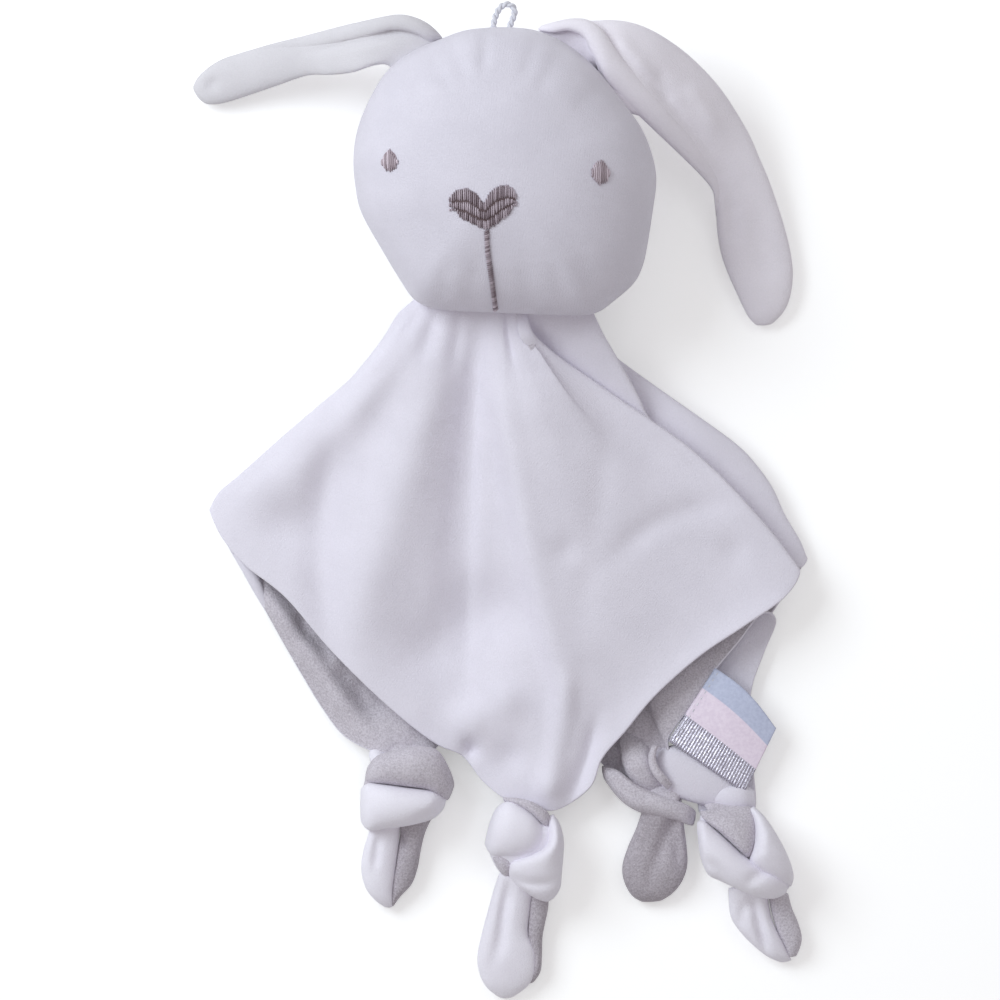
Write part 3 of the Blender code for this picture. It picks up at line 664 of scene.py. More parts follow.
def strip(name, rows, steps=28, around=32, folds=(), square=0.75):
    """Each row: both edges in pixels, then the middle height and the half thickness in millimetres."""
    left_x, left_y, right_x, right_y, high, half = through(rows, steps).T[:, :, None]
    turn = np.linspace(0, 2 * np.pi, around, endpoint=False)
    across = np.cos(turn)
    up = np.sign(np.sin(turn)) * np.abs(np.sin(turn)) ** square
    px = (left_x + right_x) / 2 + (left_x - right_x) / 2 * across
    py = (left_y + right_y) / 2 + (left_y - right_y) / 2 * across
    mm = high + half * up + relief(px, py, folds) * np.clip(up, 0, 1)
    piece = mesh_of(name, seen(px, py, np.maximum(mm, LOWEST_STRIP_MM)), around=True, capped=True)
    return softened(piece)


# %% [markdown]
# ## The ears
#
# The left ear lies out to the side with its upper rim rolled over. The right ear curves down, and
# its inner edge is turned forward over the rest. Both start inside the head's seam and stay where
# they lie.

# %% Left ear
LEFT_EAR = (
    (456, 52, 414, 80, 31, 4.0), (443, 39, 396, 72, 32.5, 4.6), (427, 26, 387, 65, 33.4, 5.0),
    (410, 20, 377, 65, 33.6, 5.0), (391, 19, 366, 68, 32.8, 4.8), (371, 22, 353, 72.5, 30.8, 4.6),
    (341, 29, 331, 75, 25.6, 4.4), (305, 37, 308, 75.5, 18.6, 4.2), (269, 45, 282, 84, 12, 4.2),
    (242, 52.5, 256, 93, 8, 4.2), (220, 60, 235, 100, 6, 4.0), (204, 71, 219, 104, 5, 3.5),
    (196, 80, 206, 104, 4.4, 2.8), (192.5, 89, 198, 98, 3.8, 1.5),
)
LEFT_EAR_RIM = (
    (444, 40, 436, 44, 33, 1.5), (438, 32, 428, 41, 36, 2.6), (426, 22, 418, 35, 37.6, 3.0),
    (410, 15.5, 406, 31, 38, 3.2), (395, 14.5, 393, 30, 37.4, 3.2), (376, 18, 379, 33, 36, 3.0),
    (358, 22, 362, 38, 32.6, 2.8), (341, 26, 343, 42, 29, 2.6), (305, 35.5, 308, 50, 20.6, 2.3),
    (269, 44.5, 276, 58, 13.0, 2.0), (243, 53, 250, 64, 8.8, 1.5), (224, 62, 229, 69, 7.0, 0.8),
)
LEFT_EAR_FOLDS = (
    (((424, 37), (407, 33), (394, 32), (382, 35), (366, 41), (341, 46), (305, 53)), 4.0, -1.4),
    (((219, 80), (212, 84), (206, 89)), 7, -1.2),
    (((392, 56), (370, 58), (345, 60)), 9, -0.8),
)
left_ear = strip("left_ear", LEFT_EAR, steps=64, around=44, folds=LEFT_EAR_FOLDS)
left_rim = strip("left_ear_rolled_rim", LEFT_EAR_RIM, steps=64, around=28)
dress(left_rim, left_ear_velour, "white_velour")
dress(
    left_ear, left_ear_velour, "white_velour", "left_ear_root", "left_ear_front_panel",
    "left_ear_back_panel", "left_ear_wadding",
)

# %% Right ear
RIGHT_EAR = (
    (552, 54, 588, 88, 30, 3.6), (538, 31, 598, 71, 31, 3.8), (570, 22, 602, 73, 32, 4.2),
    (595, 20.5, 602, 92, 33, 4.6), (617, 20, 612, 103, 33.4, 4.8), (640, 25, 626, 112, 32, 4.8),
    (664, 37, 646, 119, 29.6, 4.6), (692, 58, 664, 137, 25.2, 4.4), (721, 89, 685, 158, 19.6, 4.4),
    (747, 130, 705, 178, 13.5, 4.4), (760, 159, 714, 192, 10.8, 4.2), (769, 180, 716, 209, 9, 4.2),
    (779, 209, 717, 231, 7, 4.2), (786.5, 234, 721, 254, 5.6, 4.2), (791.5, 257, 728, 274, 5, 4.0),
    (793, 277, 736, 292, 4.8, 4.0), (790, 298, 743, 307, 4.4, 3.6), (783, 313, 749, 318, 4.0, 2.9),
    (771, 325, 757, 326, 3.4, 1.5),
)
RIGHT_EAR_BAND = (
    (540, 26, 537, 30, 33, 1.2), (553, 22, 552, 33, 35.5, 2.4), (570, 18.5, 569, 31, 37, 3.0),
    (586, 19, 583, 37, 37.8, 3.4), (599, 26, 590, 50, 38, 3.7), (609, 38, 599, 67, 37.6, 3.9),
    (621, 55, 606, 82, 36.4, 3.9), (638, 75, 622, 100, 33.6, 3.9), (656, 94, 640, 117, 30.2, 3.9),
    (674, 115, 659, 135, 26, 3.9), (694, 137, 681, 156, 20.8, 3.8), (710, 155, 702, 177, 15.4, 3.6),
    (720, 170, 712.5, 191, 12.2, 3.2), (725, 184, 714.5, 204, 10.2, 2.6), (723, 203, 716, 218, 7.6, 1.2),
)
RIGHT_EAR_FOLDS = (
    (
        ((604, 30), (620, 50), (634, 67), (655, 88), (676, 112), (698, 137), (714, 155), (725, 172)),
        4.5,
        -1.4,
    ),
    (((556, 40), (575, 46), (592, 60)), 10, -2.0),
    (((616, 34), (634, 58), (650, 76)), 7, 1.2),
    (((655, 66), (663, 86), (674, 104)), 8, -1.3),
    (((684, 80), (702, 103), (722, 138)), 10, 1.5),
    (((728, 196), (732, 215), (733, 245)), 7, -1.2),
    (((752, 200), (760, 240), (764, 290)), 14, -1.0),
)
right_ear = strip("right_ear", RIGHT_EAR, steps=96, around=52, folds=RIGHT_EAR_FOLDS)
right_band = strip("right_ear_turned_edge", RIGHT_EAR_BAND, steps=80, around=30)
dress(right_band, ear_velour, "white_velour")
dress(
    right_ear, ear_velour, "white_velour", "right_ear_root", "right_ear_front_panel",
    "right_ear_back_panel", "right_ear_wadding",
)

# %% Ears set in place
EAR_BEND_MM = 35.0
for side, layers, start, end in (
    ("left", (left_ear, left_rim), (396, 41), (340, 50)),
    ("right", (right_ear, right_band), (600, 46), (645, 74)),
):
    for layer in layers:
        seen(*start, EAR_BEND_MM)
        seen(*end, EAR_BEND_MM)
        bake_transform(layer)
print("ears:", left_ear.name, right_ear.name)

# %% [markdown]
# ## The blanket
#
# The square is sewn round the neck by its middle, so it falls in folds like a skirt. Ribs run from
# the neck ring to the hem, in order round the cloth. Where the order turns back on itself the
# cloth folds, as at the left, and in the pleat and the wing at the right. The velour face and the
# grey lining are two sheets on the two sides of one surface, and the face is turned round the hem.
#
# A rib is its turn round the neck ring in degrees, the points on its way, and its end at the hem.
# Each point is a pixel and a height in millimetres.

# %% Neck ring and corner waists
LEFT_WAIST = (404, 751, 7.0)
BACK_WAIST = (664, 800, 6.0)
RIGHT_WAIST = (727, 811, 4.0)


NECK_TURN, NECK_HALF_TURN = -91, 34
NECK_TILT, NECK_HALF_TILT = 108, 15
NECK_LIFT_MM = -0.3


def ring_place(turn):
    """A place on the oval ring under the chin, just inside the skin of the head."""
    around = math.radians(turn)
    sideways = math.radians(NECK_TURN + NECK_HALF_TURN * math.cos(around))
    backward = math.radians(NECK_TILT - NECK_HALF_TILT * math.sin(around))
    return head_skin(sideways, backward, NECK_LIFT_MM)


def beside(waist, px):
    """A place some pixels to the side of a corner's waist."""
    return (waist[0] + px, waist[1], waist[2])


# %% Ribs of the blanket
RIBS = (
    # The front flap, from its corner to the fold at the left
    (90, ((507, 560, 14.0),), (532, 806, 12.0)),
    (94, ((494, 550, 15.0),), (506, 798, 12.0)),
    (98, ((478, 545, 16.0),), (482, 779, 10.0)),
    (102, ((462, 540, 11.5),), (463, 755, 10.0)),
    (107, ((446, 530, 11.0),), (437, 743, 11.0)),
    (112, ((428, 520, 14.0),), (406, 720, 12.0)),
    (118, ((404, 500, 15.5),), (367, 685, 12.5)),
    (125, ((376, 475, 13.5),), (326, 643, 12.5)),
    (133, ((352, 455, 12.0),), (286, 596, 12.0)),
    (142, ((336, 432, 14.5),), (246, 564, 11.0)),
    (152, ((334, 412, 11.5),), (222, 535, 9.0)),
    (
        165,
        (
            (400, 314, 23.0), (384, 339, 19.5), (364, 365, 16.5), (347, 384, 14.4), (323, 404, 12.2),
            (282, 439, 9.4), (241, 475.5, 7.4), (220, 493, 6.6),
        ),
        (211, 510, 6.0),
    ),
    # The left quarter, lining up, to the left knot
    (180, ((332, 446, 3.0),), (231, 549, 1.8)),
    (195, ((350, 474, 4.0),), (261, 600, 1.4)),
    (205, ((372, 496, 5.0),), (285, 643, 1.4)),
    (212, ((388, 524, 5.0),), (304, 676, 1.4)),
    (218, ((404, 544, 5.0),), (323, 707, 1.6)),
    (224, ((420, 562, 2.0),), (345, 735, 3.5)),
    (230, ((432, 575, 2.0),), beside(LEFT_WAIST, -27)),
    (236, ((442, 584, 2.5),), LEFT_WAIST),
    (242, ((452, 586, 2.0),), beside(LEFT_WAIST, 27)),
    # The back quarter, hidden below, to the back knot
    (248, ((462, 566, 1.4),), (460, 718, 1.6)),
    (254, ((480, 556, 1.4),), (505, 700, 1.4)),
    (260, ((502, 560, 1.4),), (558, 718, 1.4)),
    (266, ((530, 572, 1.4),), (597, 758, 1.6)),
    (271, ((548, 582, 1.4),), (624, 782, 3.0)),
    (276, ((560, 590, 1.6),), beside(BACK_WAIST, -17)),
    (281, ((570, 594, 1.8),), BACK_WAIST),
    (286, ((580, 594, 2.5),), beside(BACK_WAIST, 17)),
    # The raised hem with the tag
    (291, ((588, 585, 5.0),), (676, 770, 7.0)),
    (296, ((596, 572, 7.5),), (668, 739, 9.6)),
    (301, ((603, 558, 8.8),), (691, 705, 9.6)),
    (305, ((607, 547, 9.2),), (714, 670, 9.6)),
    (308, ((610, 541, 9.4),), (737, 642, 9.2)),
    (311, ((614, 537, 8.6),), (760, 614, 8.4)),
    (314, ((628, 540, 5.0),), (775, 620, 5.6)),
    (317, ((636, 546, 3.6),), (763, 652, 4.6)),
    (320, ((642, 556, 2.6),), (750, 694, 4.4)),
    (322, ((646, 566, 2.0),), (752, 756, 4.4)),
    # The right quarter below it, from the right knot back to the tip
    (325, ((650, 572, 1.8),), beside(RIGHT_WAIST, 27)),
    (329, ((652, 566, 1.5),), RIGHT_WAIST),
    (333, ((654, 560, 1.4),), beside(RIGHT_WAIST, -27)),
    (338, ((602, 490, -1.0),), (712, 745, 1.6)),
    (343, ((600, 480, -2.0),), (728, 694, 1.6)),
    (348, ((614, 446, -5.0),), (750, 645, 1.8)),
    (353, ((592, 334, 12.0), (626, 376, 7.0), (684, 426, 3.4), (742, 490, 2.4)), (785, 592, 2.6)),
    # The wing at the right, its outer fold, and the pleat under the flap
    (
        357,
        (
            (588, 330, 13.4), (604, 350, 11.4), (619, 362, 10.6), (664, 394, 10.0), (697, 417, 9.0),
            (734, 444, 7.6), (753, 463, 6.8), (771, 488, 6.0), (784, 516, 5.4), (799, 543, 4.6),
        ),
        (805, 560, 4.0),
    ),
    (
        362,
        ((580, 350, 12.6), (632, 392, 11.6), (696, 438, 11.6), (742, 490, 9.6), (778, 538, 7.8)),
        (801, 566, 6.4),
    ),
    (368, ((570, 366, 12.6), (606, 412, 11.4), (668, 470, 11.0), (722, 522, 9.2)), (783, 568, 7.6)),
    (373, ((580, 352, 15.0), (604, 392, 12.8), (650, 440, 12.8), (705, 500, 10.8)), (778, 562, 9.0)),
    (
        377,
        (
            (603, 336, 25.0), (617.5, 361, 22.0), (628, 379, 20.0), (639, 400, 18.0), (650, 421, 16.4),
            (690, 468, 13.0), (740, 518, 11.6),
        ),
        (784, 560, 10.0),
    ),
    (
        396,
        ((574, 342, 26.0), (600, 376, 21.6), (622, 408, 18.2), (650, 446, 15.4), (700, 500, 12.6)),
        (772, 560, 10.6),
    ),
    (
        440,
        ((540, 336, 26.0), (556, 362, 22.4), (580, 394, 18.6), (612, 432, 15.6), (660, 482, 13.0)),
        (758, 562, 11.4),
    ),
    (
        437,
        (
            (526, 336, 27.6), (540, 354, 23.6), (566, 378, 20.6), (608, 408, 18.0), (668, 452, 15.0),
            (728, 506, 12.8),
        ),
        (780, 565, 11.8),
    ),
    # The front flap again, from the pleat to its corner
    (
        434,
        (
            (531, 332, 34.0), (544, 346, 29.5), (564, 362, 26.5), (590, 380, 24.0), (618, 400, 22.2),
            (649, 421, 20.6), (684, 446, 19.0), (716, 474, 17.6), (750, 510, 16.2), (778, 543, 15.0),
        ),
        (799, 571, 13.8),
    ),
    (
        438,
        (
            (520, 334, 33.0), (533, 353, 29.2), (554, 378, 26.0), (586, 408, 23.0), (640, 452, 20.0),
            (704, 514, 17.0),
        ),
        (783, 597, 14.4),
    ),
    (441, ((612, 478, 17.4),), (742, 626, 14.0)),
    (443, ((594, 502, 16.0),), (699, 655, 13.4)),
    (444.5, ((574, 520, 15.0),), (655, 694, 12.6)),
    (446, ((557, 535, 13.5),), (625, 730, 11.0)),
    (447.5, ((543, 545, 12.6),), (602, 757, 10.0)),
    (448.5, ((531, 555, 12.5),), (590, 786, 9.8)),
    (449.3, ((519, 560, 13.0),), (558, 808, 11.6)),
)
ROWS = 84
BETWEEN_RIBS = 8
ORDER = [rib[0] for rib in RIBS]
LEFT_FOLD_RIB = ORDER.index(165)
PLEAT_RIB = ORDER.index(434)
LEFT_QUARTER_RIB = ORDER.index(212)
LEFT_QUARTER_HALF = 4.5


def rib_line(turn, middle, hem):
    """A rib as a line of pixels and heights. One middle point draws it, and several lie on it."""
    start = np.array(ring_place(turn))
    if len(middle) > 1:
        return through([start, *middle, hem], ROWS)
    t = np.linspace(0, 1, 40)[:, None]
    bow = start * (1 - t) ** 2 + np.array(middle[0]) * 2 * t * (1 - t) + np.array(hem) * t**2
    return through(bow, ROWS)


def round_the_ribs(ribs):
    """Fills in between the ribs with smooth curves, all the way round."""
    t = np.linspace(0, 1, BETWEEN_RIBS, endpoint=False)[:, None, None]
    four = [np.roll(ribs, shift, axis=0)[:, None] for shift in (1, 0, -1, -2)]
    return curve_between(*four, t).reshape(-1, *ribs.shape[1:])


cloth = round_the_ribs(np.array([rib_line(*rib) for rib in RIBS]))
print("the blanket has", cloth.shape[0], "lines of", cloth.shape[1], "points")

# %% [markdown]
# The ribs give the large shape. The soft folds on the front flap are added as lines: a deep
# valley down from the neck, a bright ridge beside it, a hollow to the left, and the puckers round
# the neck seam and above the middle knot.

# %% Folds of the front flap
FLAP_FOLDS = (
    (
        (
            (580, 790), (562, 716), (547, 660), (533, 606), (520, 548), (508, 486), (498, 436),
            (489, 392), (486, 345), (488, 270),
        ),
        4.5,
        5.4,
        120,
    ),
    (((486, 280), (478, 380), (474, 430), (472, 480), (474, 540), (484, 610), (500, 700)), 38, -3.4),
    (((450, 300), (428, 390), (404, 460), (380, 540), (356, 620), (340, 680)), 32, 3.0),
    (((456, 640),), 60, -2.4),
    (((488, 612),), 34, -2.4),
    (((424, 652),), 28, -1.8),
    (((340, 380), (329, 460), (322, 530), (326, 600), (342, 690)), 20, -2.4),
    (((286, 525),), 30, -2.0),
    (((440, 320), (345, 410), (280, 470), (215, 530)), 26, 2.2),
    (((850, 600), (762, 668), (704, 716), (650, 772), (604, 838)), 46, 6.6),
    (((550, 350), (630, 432), (690, 470), (770, 530)), 24, -1.6),
    (((566, 550),), 14, -0.9),
    (((612, 400), (598, 500), (590, 560), (574, 650)), 15, -0.5),
    (((596, 572), (645, 530), (690, 510), (760, 498)), 13, -0.9),
    (((735, 550),), 16, -0.8),
    (((470, 722),), 20, 2.6),
    (((505, 702),), 20, 1.8),
    (((470, 749),), 9, -2.6),
    (((508, 758),), 18, -2.2),
    (((568, 660), (560, 730), (548, 812)), 12, 1.8),
    (((598, 714), (586, 760), (564, 810)), 8, -1.8),
    (((547, 788),), 12, 1.6),
    (((440, 286), (434, 320), (420, 366)), 9, -1.0),
    (((462, 286), (459, 322), (450, 372)), 8, -0.8),
    (((506, 296), (508, 330), (514, 366)), 5, -1.0),
    (((412, 308), (390, 344), (356, 384)), 8, 1.2),
)
LINING_FOLDS = (
    (((246, 564), (271, 600), (292, 630), (312, 657), (334, 690), (358, 721), (382, 748)), 10, 5.4),
    (((312, 626),), 14, -4.2),
    (((376, 694),), 19, -5.0),
    (((336, 660),), 10, 2.6),
    (((412, 730),), 10, 2.6),
)
FLAP_DEPTH = 1.5
FLAP_MARGIN = 0.8
LOWEST_CLOTH_MM = 1.3
columns = np.arange(len(cloth)) / BETWEEN_RIBS
in_flap = np.clip(1 - (columns - LEFT_FOLD_RIB + FLAP_MARGIN), 0, 1) + np.clip(columns - PLEAT_RIB, 0, 1)
flap_mm = FLAP_DEPTH * relief(cloth[..., 0], cloth[..., 1], FLAP_FOLDS)
cloth[..., 2] += flap_mm * np.clip(in_flap, 0, 1)[:, None]
in_left = np.clip(LEFT_QUARTER_HALF - np.abs(columns - LEFT_QUARTER_RIB), 0, 1)
cloth[..., 2] += relief(cloth[..., 0], cloth[..., 1], LINING_FOLDS) * in_left[:, None]
cloth[..., 2] = np.maximum(cloth[..., 2], LOWEST_CLOTH_MM)

# %% Two sheets on one surface
HALF_CLOTH = 0.00055
LINING_GAP_SHARE = 0.9
FRONT_RIBS = 8
surface = seen(cloth[..., 0], cloth[..., 1], cloth[..., 2])
around_way = np.roll(surface, -1, axis=0) - np.roll(surface, 1, axis=0)
down_way = np.gradient(surface, axis=1)
outward = np.cross(down_way, around_way)
outward /= np.maximum(np.linalg.norm(outward, axis=2, keepdims=True), 1e-9)
outward *= np.sign(outward[: FRONT_RIBS * BETWEEN_RIBS, :, 2].sum())
hem_way = down_way[:, -1] / np.linalg.norm(down_way[:, -1], axis=1, keepdims=True)
hem_turn = [
    surface[:, -1] + HALF_CLOTH * (hem_way * math.sin(turn) + outward[:, -1] * math.cos(turn))
    for turn in np.linspace(0, math.pi, 7)
]
face_rows = np.concatenate([surface + outward * HALF_CLOTH, np.stack(hem_turn[1:], axis=1)], axis=1)
blanket_face = mesh_of("blanket_velour", face_rows.transpose(1, 0, 2), around=True)
lining_rows = surface - outward * HALF_CLOTH * LINING_GAP_SHARE
blanket_lining = mesh_of("blanket_lining_cloth", lining_rows.transpose(1, 0, 2), around=True)
dress(blanket_face, blanket_velour, "white_velour", "blanket_face")
dress(blanket_lining, lining, "grey_velour", "blanket_lining")
NECK_Y = seen(505, 313, 36.0)[1]
for sheet in (blanket_face, blanket_lining):
    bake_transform(sheet)
cloth_area = sum(face.area for face in blanket_face.data.polygons)
print("the velour sheet has", round(cloth_area, 4), "m2 of cloth")

# %% [markdown]
# ## Knots and tails
#
# Each corner is gathered, tied once and pulled tight. A knot is crossing bands of doubled cloth,
# some with the velour out and some with the lining out, and its tail is two lobes: the white face
# on one side and the grey lining on the other. The back knot shows its lining alone.
#
# A band is its cloth, the rows of its strip, and its creases.

# %% The four knots
KNOTS = {
    "left": {
        "core": (
            lining,
            (
                (372, 760, 434, 758, 7, 4), (364, 782, 448, 784, 8, 6.4), (362, 804, 446, 802, 8, 6.6),
                (368, 822, 434, 816, 7, 5),
            ),
            (),
        ),
        "tuck": (
            knot_velour,
            (
                (369, 751, 378, 748, 6, 2.4),
                (369, 757, 385, 755, 7.6, 3.6),
                (371, 764, 384, 763, 8.6, 3.6),
            ),
            (),
        ),
        "upper_wrap": (
            lining,
            (
                (367, 767, 364, 780, 8, 5), (376, 756, 374, 783.5, 11, 8.5),
                (390, 751, 390, 785, 13, 9.6), (406, 748, 408, 787.5, 13.6, 9.8),
                (423, 746, 426, 790, 13, 9.4), (439, 751, 438, 796, 11.5, 8.6),
                (451, 772, 445, 800, 9, 6.6), (455, 786, 449, 800, 7, 4),
            ),
            (),
        ),
        "lower_wrap": (
            knot_velour,
            (
                (360, 789, 360, 821, 7.5, 6), (368, 783, 369, 831, 11, 9), (384, 784, 386, 828.5, 13, 10),
                (403, 786.5, 402, 827, 13.4, 10), (420, 788.5, 421, 823, 13, 9.6),
                (435, 791, 435, 818, 11.5, 8.8), (447, 799, 444, 809, 8, 5),
            ),
            ((((449, 799), (432, 813), (410, 822)), 4, -2.0),),
        ),
        "tail_velour": (
            knot_velour,
            (
                (371, 820, 401, 818, 9, 5), (369, 832, 400, 830, 7, 5), (363, 851, 398.5, 848, 5.8, 4.8),
                (361, 870, 395.5, 871, 5, 4.6), (366, 889, 393, 889, 4.6, 4),
                (376, 901, 392.5, 900, 4, 3), (386, 908, 392.5, 907.5, 3.2, 1.3),
            ),
            ((((379, 832), (377, 850), (374, 872)), 3.5, -1.8),),
        ),
        "tail_lining": (
            tail_lining,
            (
                (400, 820, 434, 814, 8.6, 4.6), (400, 834, 425.5, 832, 6.4, 4.6),
                (398, 848, 421, 850, 5.4, 4.4), (395, 868, 418, 867, 4.8, 4.1),
                (392, 884, 412, 884, 4.2, 3.4), (391, 898, 400, 897, 3.6, 2.4),
                (390.5, 907, 393.5, 906.5, 3, 1.2),
            ),
            ((((402, 828), (402, 838), (403, 850)), 3.5, -2.4),),
        ),
    },
    "centre": {
        "core": (
            knot_velour,
            (
                (500, 808, 546, 814, 8, 5), (490, 828, 560, 830, 10.6, 8.4),
                (487, 845, 562, 850, 10.6, 8.6), (494, 864, 561, 868, 9, 7), (506, 880, 557, 887, 7, 5),
                (520, 892, 551, 897, 6, 3.6),
            ),
            (),
        ),
        "top_edge": (
            lining,
            (
                (503, 797, 503, 801, 13, 2.5), (518, 798, 519, 807, 15.5, 3.6),
                (533, 802, 531, 814, 16.5, 4), (546, 810, 542, 824, 16, 3.6),
                (551, 818, 548, 830, 13.5, 2.4),
            ),
            (),
        ),
        "pad": (
            knot_velour,
            (
                (489, 823, 484, 844, 8, 5), (496, 808, 491, 855, 11.5, 8),
                (508, 800.5, 504, 857, 13.4, 9.4), (521, 805, 520, 857, 13.8, 9.6),
                (534, 814, 534, 853, 13.2, 9), (545, 826, 544, 846, 11, 7),
            ),
            (),
        ),
        "inner_fold": (
            lining,
            (
                (491, 852, 494, 862, 9, 4), (500, 850, 500, 872, 10, 6), (510, 850, 506, 877, 10, 6),
                (519, 853, 514, 872, 9, 5),
            ),
            (),
        ),
        "side_wrap": (
            knot_velour,
            (
                (553, 813, 546, 818, 11, 4.6), (560, 824, 548, 832, 12.4, 7.4),
                (564, 840, 545, 846, 13, 9), (563.5, 857, 530, 855, 13.4, 9.8),
                (562, 874, 511, 862, 12.8, 9.6), (560, 890, 508, 873, 11.6, 8.8),
                (549, 902, 512, 881, 10, 7), (536, 899, 518, 888, 8.6, 3.6),
            ),
            (
                (((556, 818), (557, 842), (546, 862)), 8, 1.0),
                (((500, 870), (532, 884), (570, 878)), 4, -1.8),
            ),
        ),
        "tail_velour": (
            knot_velour,
            (
                (500, 870, 536, 884, 9, 5.4), (494, 888, 533, 898, 6.6, 5.4),
                (489, 906, 530, 914, 5.8, 5.2), (482, 932, 528.5, 934, 5.2, 5),
                (477, 957, 536, 952, 5, 4.8), (479.5, 974, 536, 971, 4.6, 4.4),
                (486, 987, 529, 985, 4.2, 3.6), (497, 996, 517, 994.5, 3.4, 2.2),
                (503, 999, 511, 998, 2.8, 1.1),
            ),
            ((((511, 874), (506, 900), (503, 920), (499, 948), (491, 966)), 4.5, -2.8),),
        ),
        "tail_lining": (
            tail_lining,
            (
                (532, 892, 549, 896, 8, 4), (529, 908, 548, 910, 5.8, 4.2), (528, 922, 545, 924, 5, 4),
                (528, 940, 542.5, 938, 4.6, 3.8), (533, 958, 542, 956, 4.2, 3.4),
                (532, 974, 540.5, 972, 3.8, 3), (528, 984, 533, 983, 3, 1.4),
            ),
            (),
        ),
    },
    "back": {
        "band": (
            lining,
            (
                (601, 765, 603, 778, 6, 3), (618, 770, 618, 798, 8, 5), (636, 784, 634, 810, 8.8, 6.4),
                (656, 793, 653, 816, 8.4, 6.4), (676, 800, 674, 820, 8, 5.8),
                (690, 806, 688, 825, 7, 4.4), (697, 812, 694, 826, 4.2, 2.4),
            ),
            ((((612, 772), (632, 790), (656, 800)), 5, -1.6),),
        ),
        "tail_lining": (
            tail_lining,
            (
                (644, 804, 682, 810, 8, 5), (636, 828, 685, 832, 6, 5), (628, 846, 687, 848, 5.2, 5),
                (622, 866, 687.5, 866, 5, 4.8), (624, 882, 682, 882, 4.4, 4.2),
                (632, 896, 672, 894, 3.8, 3), (643, 902.5, 660, 901.5, 2.8, 1.2),
            ),
            (
                (((676, 806), (665, 837), (656.5, 860), (649, 884)), 4.2, -3.0),
                (((674, 806), (675, 844), (682, 872)), 4, -2.4),
            ),
        ),
    },
    "right": {
        "core": (
            knot_velour,
            (
                (700, 812, 754, 808, 7, 4.6), (699, 832, 764, 822, 8, 6), (704, 852, 778, 842, 8, 7),
                (712, 868, 789, 864, 8, 7), (728, 882, 791, 884, 7.6, 6), (746, 892, 782, 896, 6, 4),
            ),
            (),
        ),
        "inner_fold": (
            lining,
            (
                (698, 811, 753, 805, 10.5, 4), (705, 821, 757, 822, 13.4, 6.4),
                (720, 833, 757, 839, 14.6, 7), (735, 847, 753, 853, 14.2, 7), (744, 856, 749, 859, 12, 5),
            ),
            (),
        ),
        "lower_wrap": (
            knot_velour,
            (
                (696, 822, 698, 844, 9, 7), (703, 820, 701, 860, 12, 9.4), (714, 828, 708, 875, 13, 10),
                (728, 840, 720, 881, 13.4, 10), (742, 853, 739, 890, 13.2, 10),
                (757, 863, 757, 897, 12.4, 9.6), (774, 867, 774, 899, 10.6, 8.6),
                (790, 874, 787, 894, 8, 5.6),
            ),
            (
                (((700, 862), (716, 868), (730, 892)), 5, -2.0),
                (((784, 866), (760, 874), (742, 888)), 5, -1.6),
            ),
        ),
        "side_wrap": (
            knot_velour,
            (
                (754, 806, 748, 808, 9, 4.6), (766, 818, 754, 824, 12, 8),
                (779, 838, 753, 844, 13.4, 9.6), (789, 858, 749, 859, 13.6, 10),
                (794, 876, 755, 868, 12, 9), (791, 888, 770, 876, 9, 6),
            ),
            ((((772, 826), (764, 846), (766, 866)), 8, 1.0),),
        ),
        "tail_velour": (
            knot_velour,
            (
                (728, 886, 768, 890, 9, 5.4), (728.5, 902, 769, 904, 6.4, 5.2),
                (731, 918, 772.5, 920, 5.4, 5), (741, 933, 778, 932, 5, 4.8),
                (755, 947, 784, 944, 4.6, 4.2), (768, 957, 789, 955, 4, 3),
                (782, 963, 792, 960.5, 2.8, 1.2),
            ),
            (
                (((751, 888), (757, 915), (762, 935), (768, 958)), 3.8, -2.8),
                (((749, 898), (742, 914), (740, 930)), 5, -1.4),
            ),
        ),
        "tail_lining": (
            lining,
            (
                (768, 892, 788, 892, 8, 4.4), (770, 906, 792, 908, 5.8, 4.4),
                (774, 922, 798, 922, 5, 4.2), (779, 936, 802, 937, 4.6, 3.8),
                (785, 948, 800, 948, 4, 3.2), (788, 957, 796, 957, 3.4, 2),
            ),
            (),
        ),
    },
}
for corner, parts in KNOTS.items():
    for part, (cloth_finish, rows, folds) in parts.items():
        piece = strip(f"{corner}_knot_{part}", rows, steps=26, around=30, folds=folds)
        dress(piece, cloth_finish, slot_of(cloth_finish))
        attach(piece, f"{corner}_knot")
    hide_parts(f"{corner}_knot_tail", f"{corner}_knot_wrap")

# %% [markdown]
# Between the sheet and each knot the corner is drawn together. That short gather stays where it
# lies.

# %% Gathers
GATHERS = {
    "left": (
        lining,
        (
            (376, 738, 430, 738, 4, 1.6), (381, 747, 427, 747, 5.2, 2.8), (388, 756, 421, 756, 6.4, 4.4),
            (392, 764, 416, 764, 7.4, 5.0),
        ),
    ),
    "centre": (
        blanket_velour,
        (
            (506, 782, 553, 784, 6.6, 2), (508, 793, 551, 796, 7.4, 3.6), (512, 806, 546, 808, 8.4, 5),
            (514, 816, 542, 818, 8.8, 5),
        ),
    ),
    "back": (
        lining,
        (
            (647, 786, 682, 786, 6, 1.8), (648, 794, 681, 794, 7, 3), (650, 802, 679, 802, 7.6, 4),
            (651, 810, 677, 812, 7.6, 4),
        ),
    ),
    "right": (
        lining,
        (
            (702, 798, 752, 798, 4, 1.8), (704, 805, 751, 805, 6, 4), (708, 813, 748, 812, 9, 5.4),
            (712, 821, 744, 820, 11, 5.4),
        ),
    ),
}
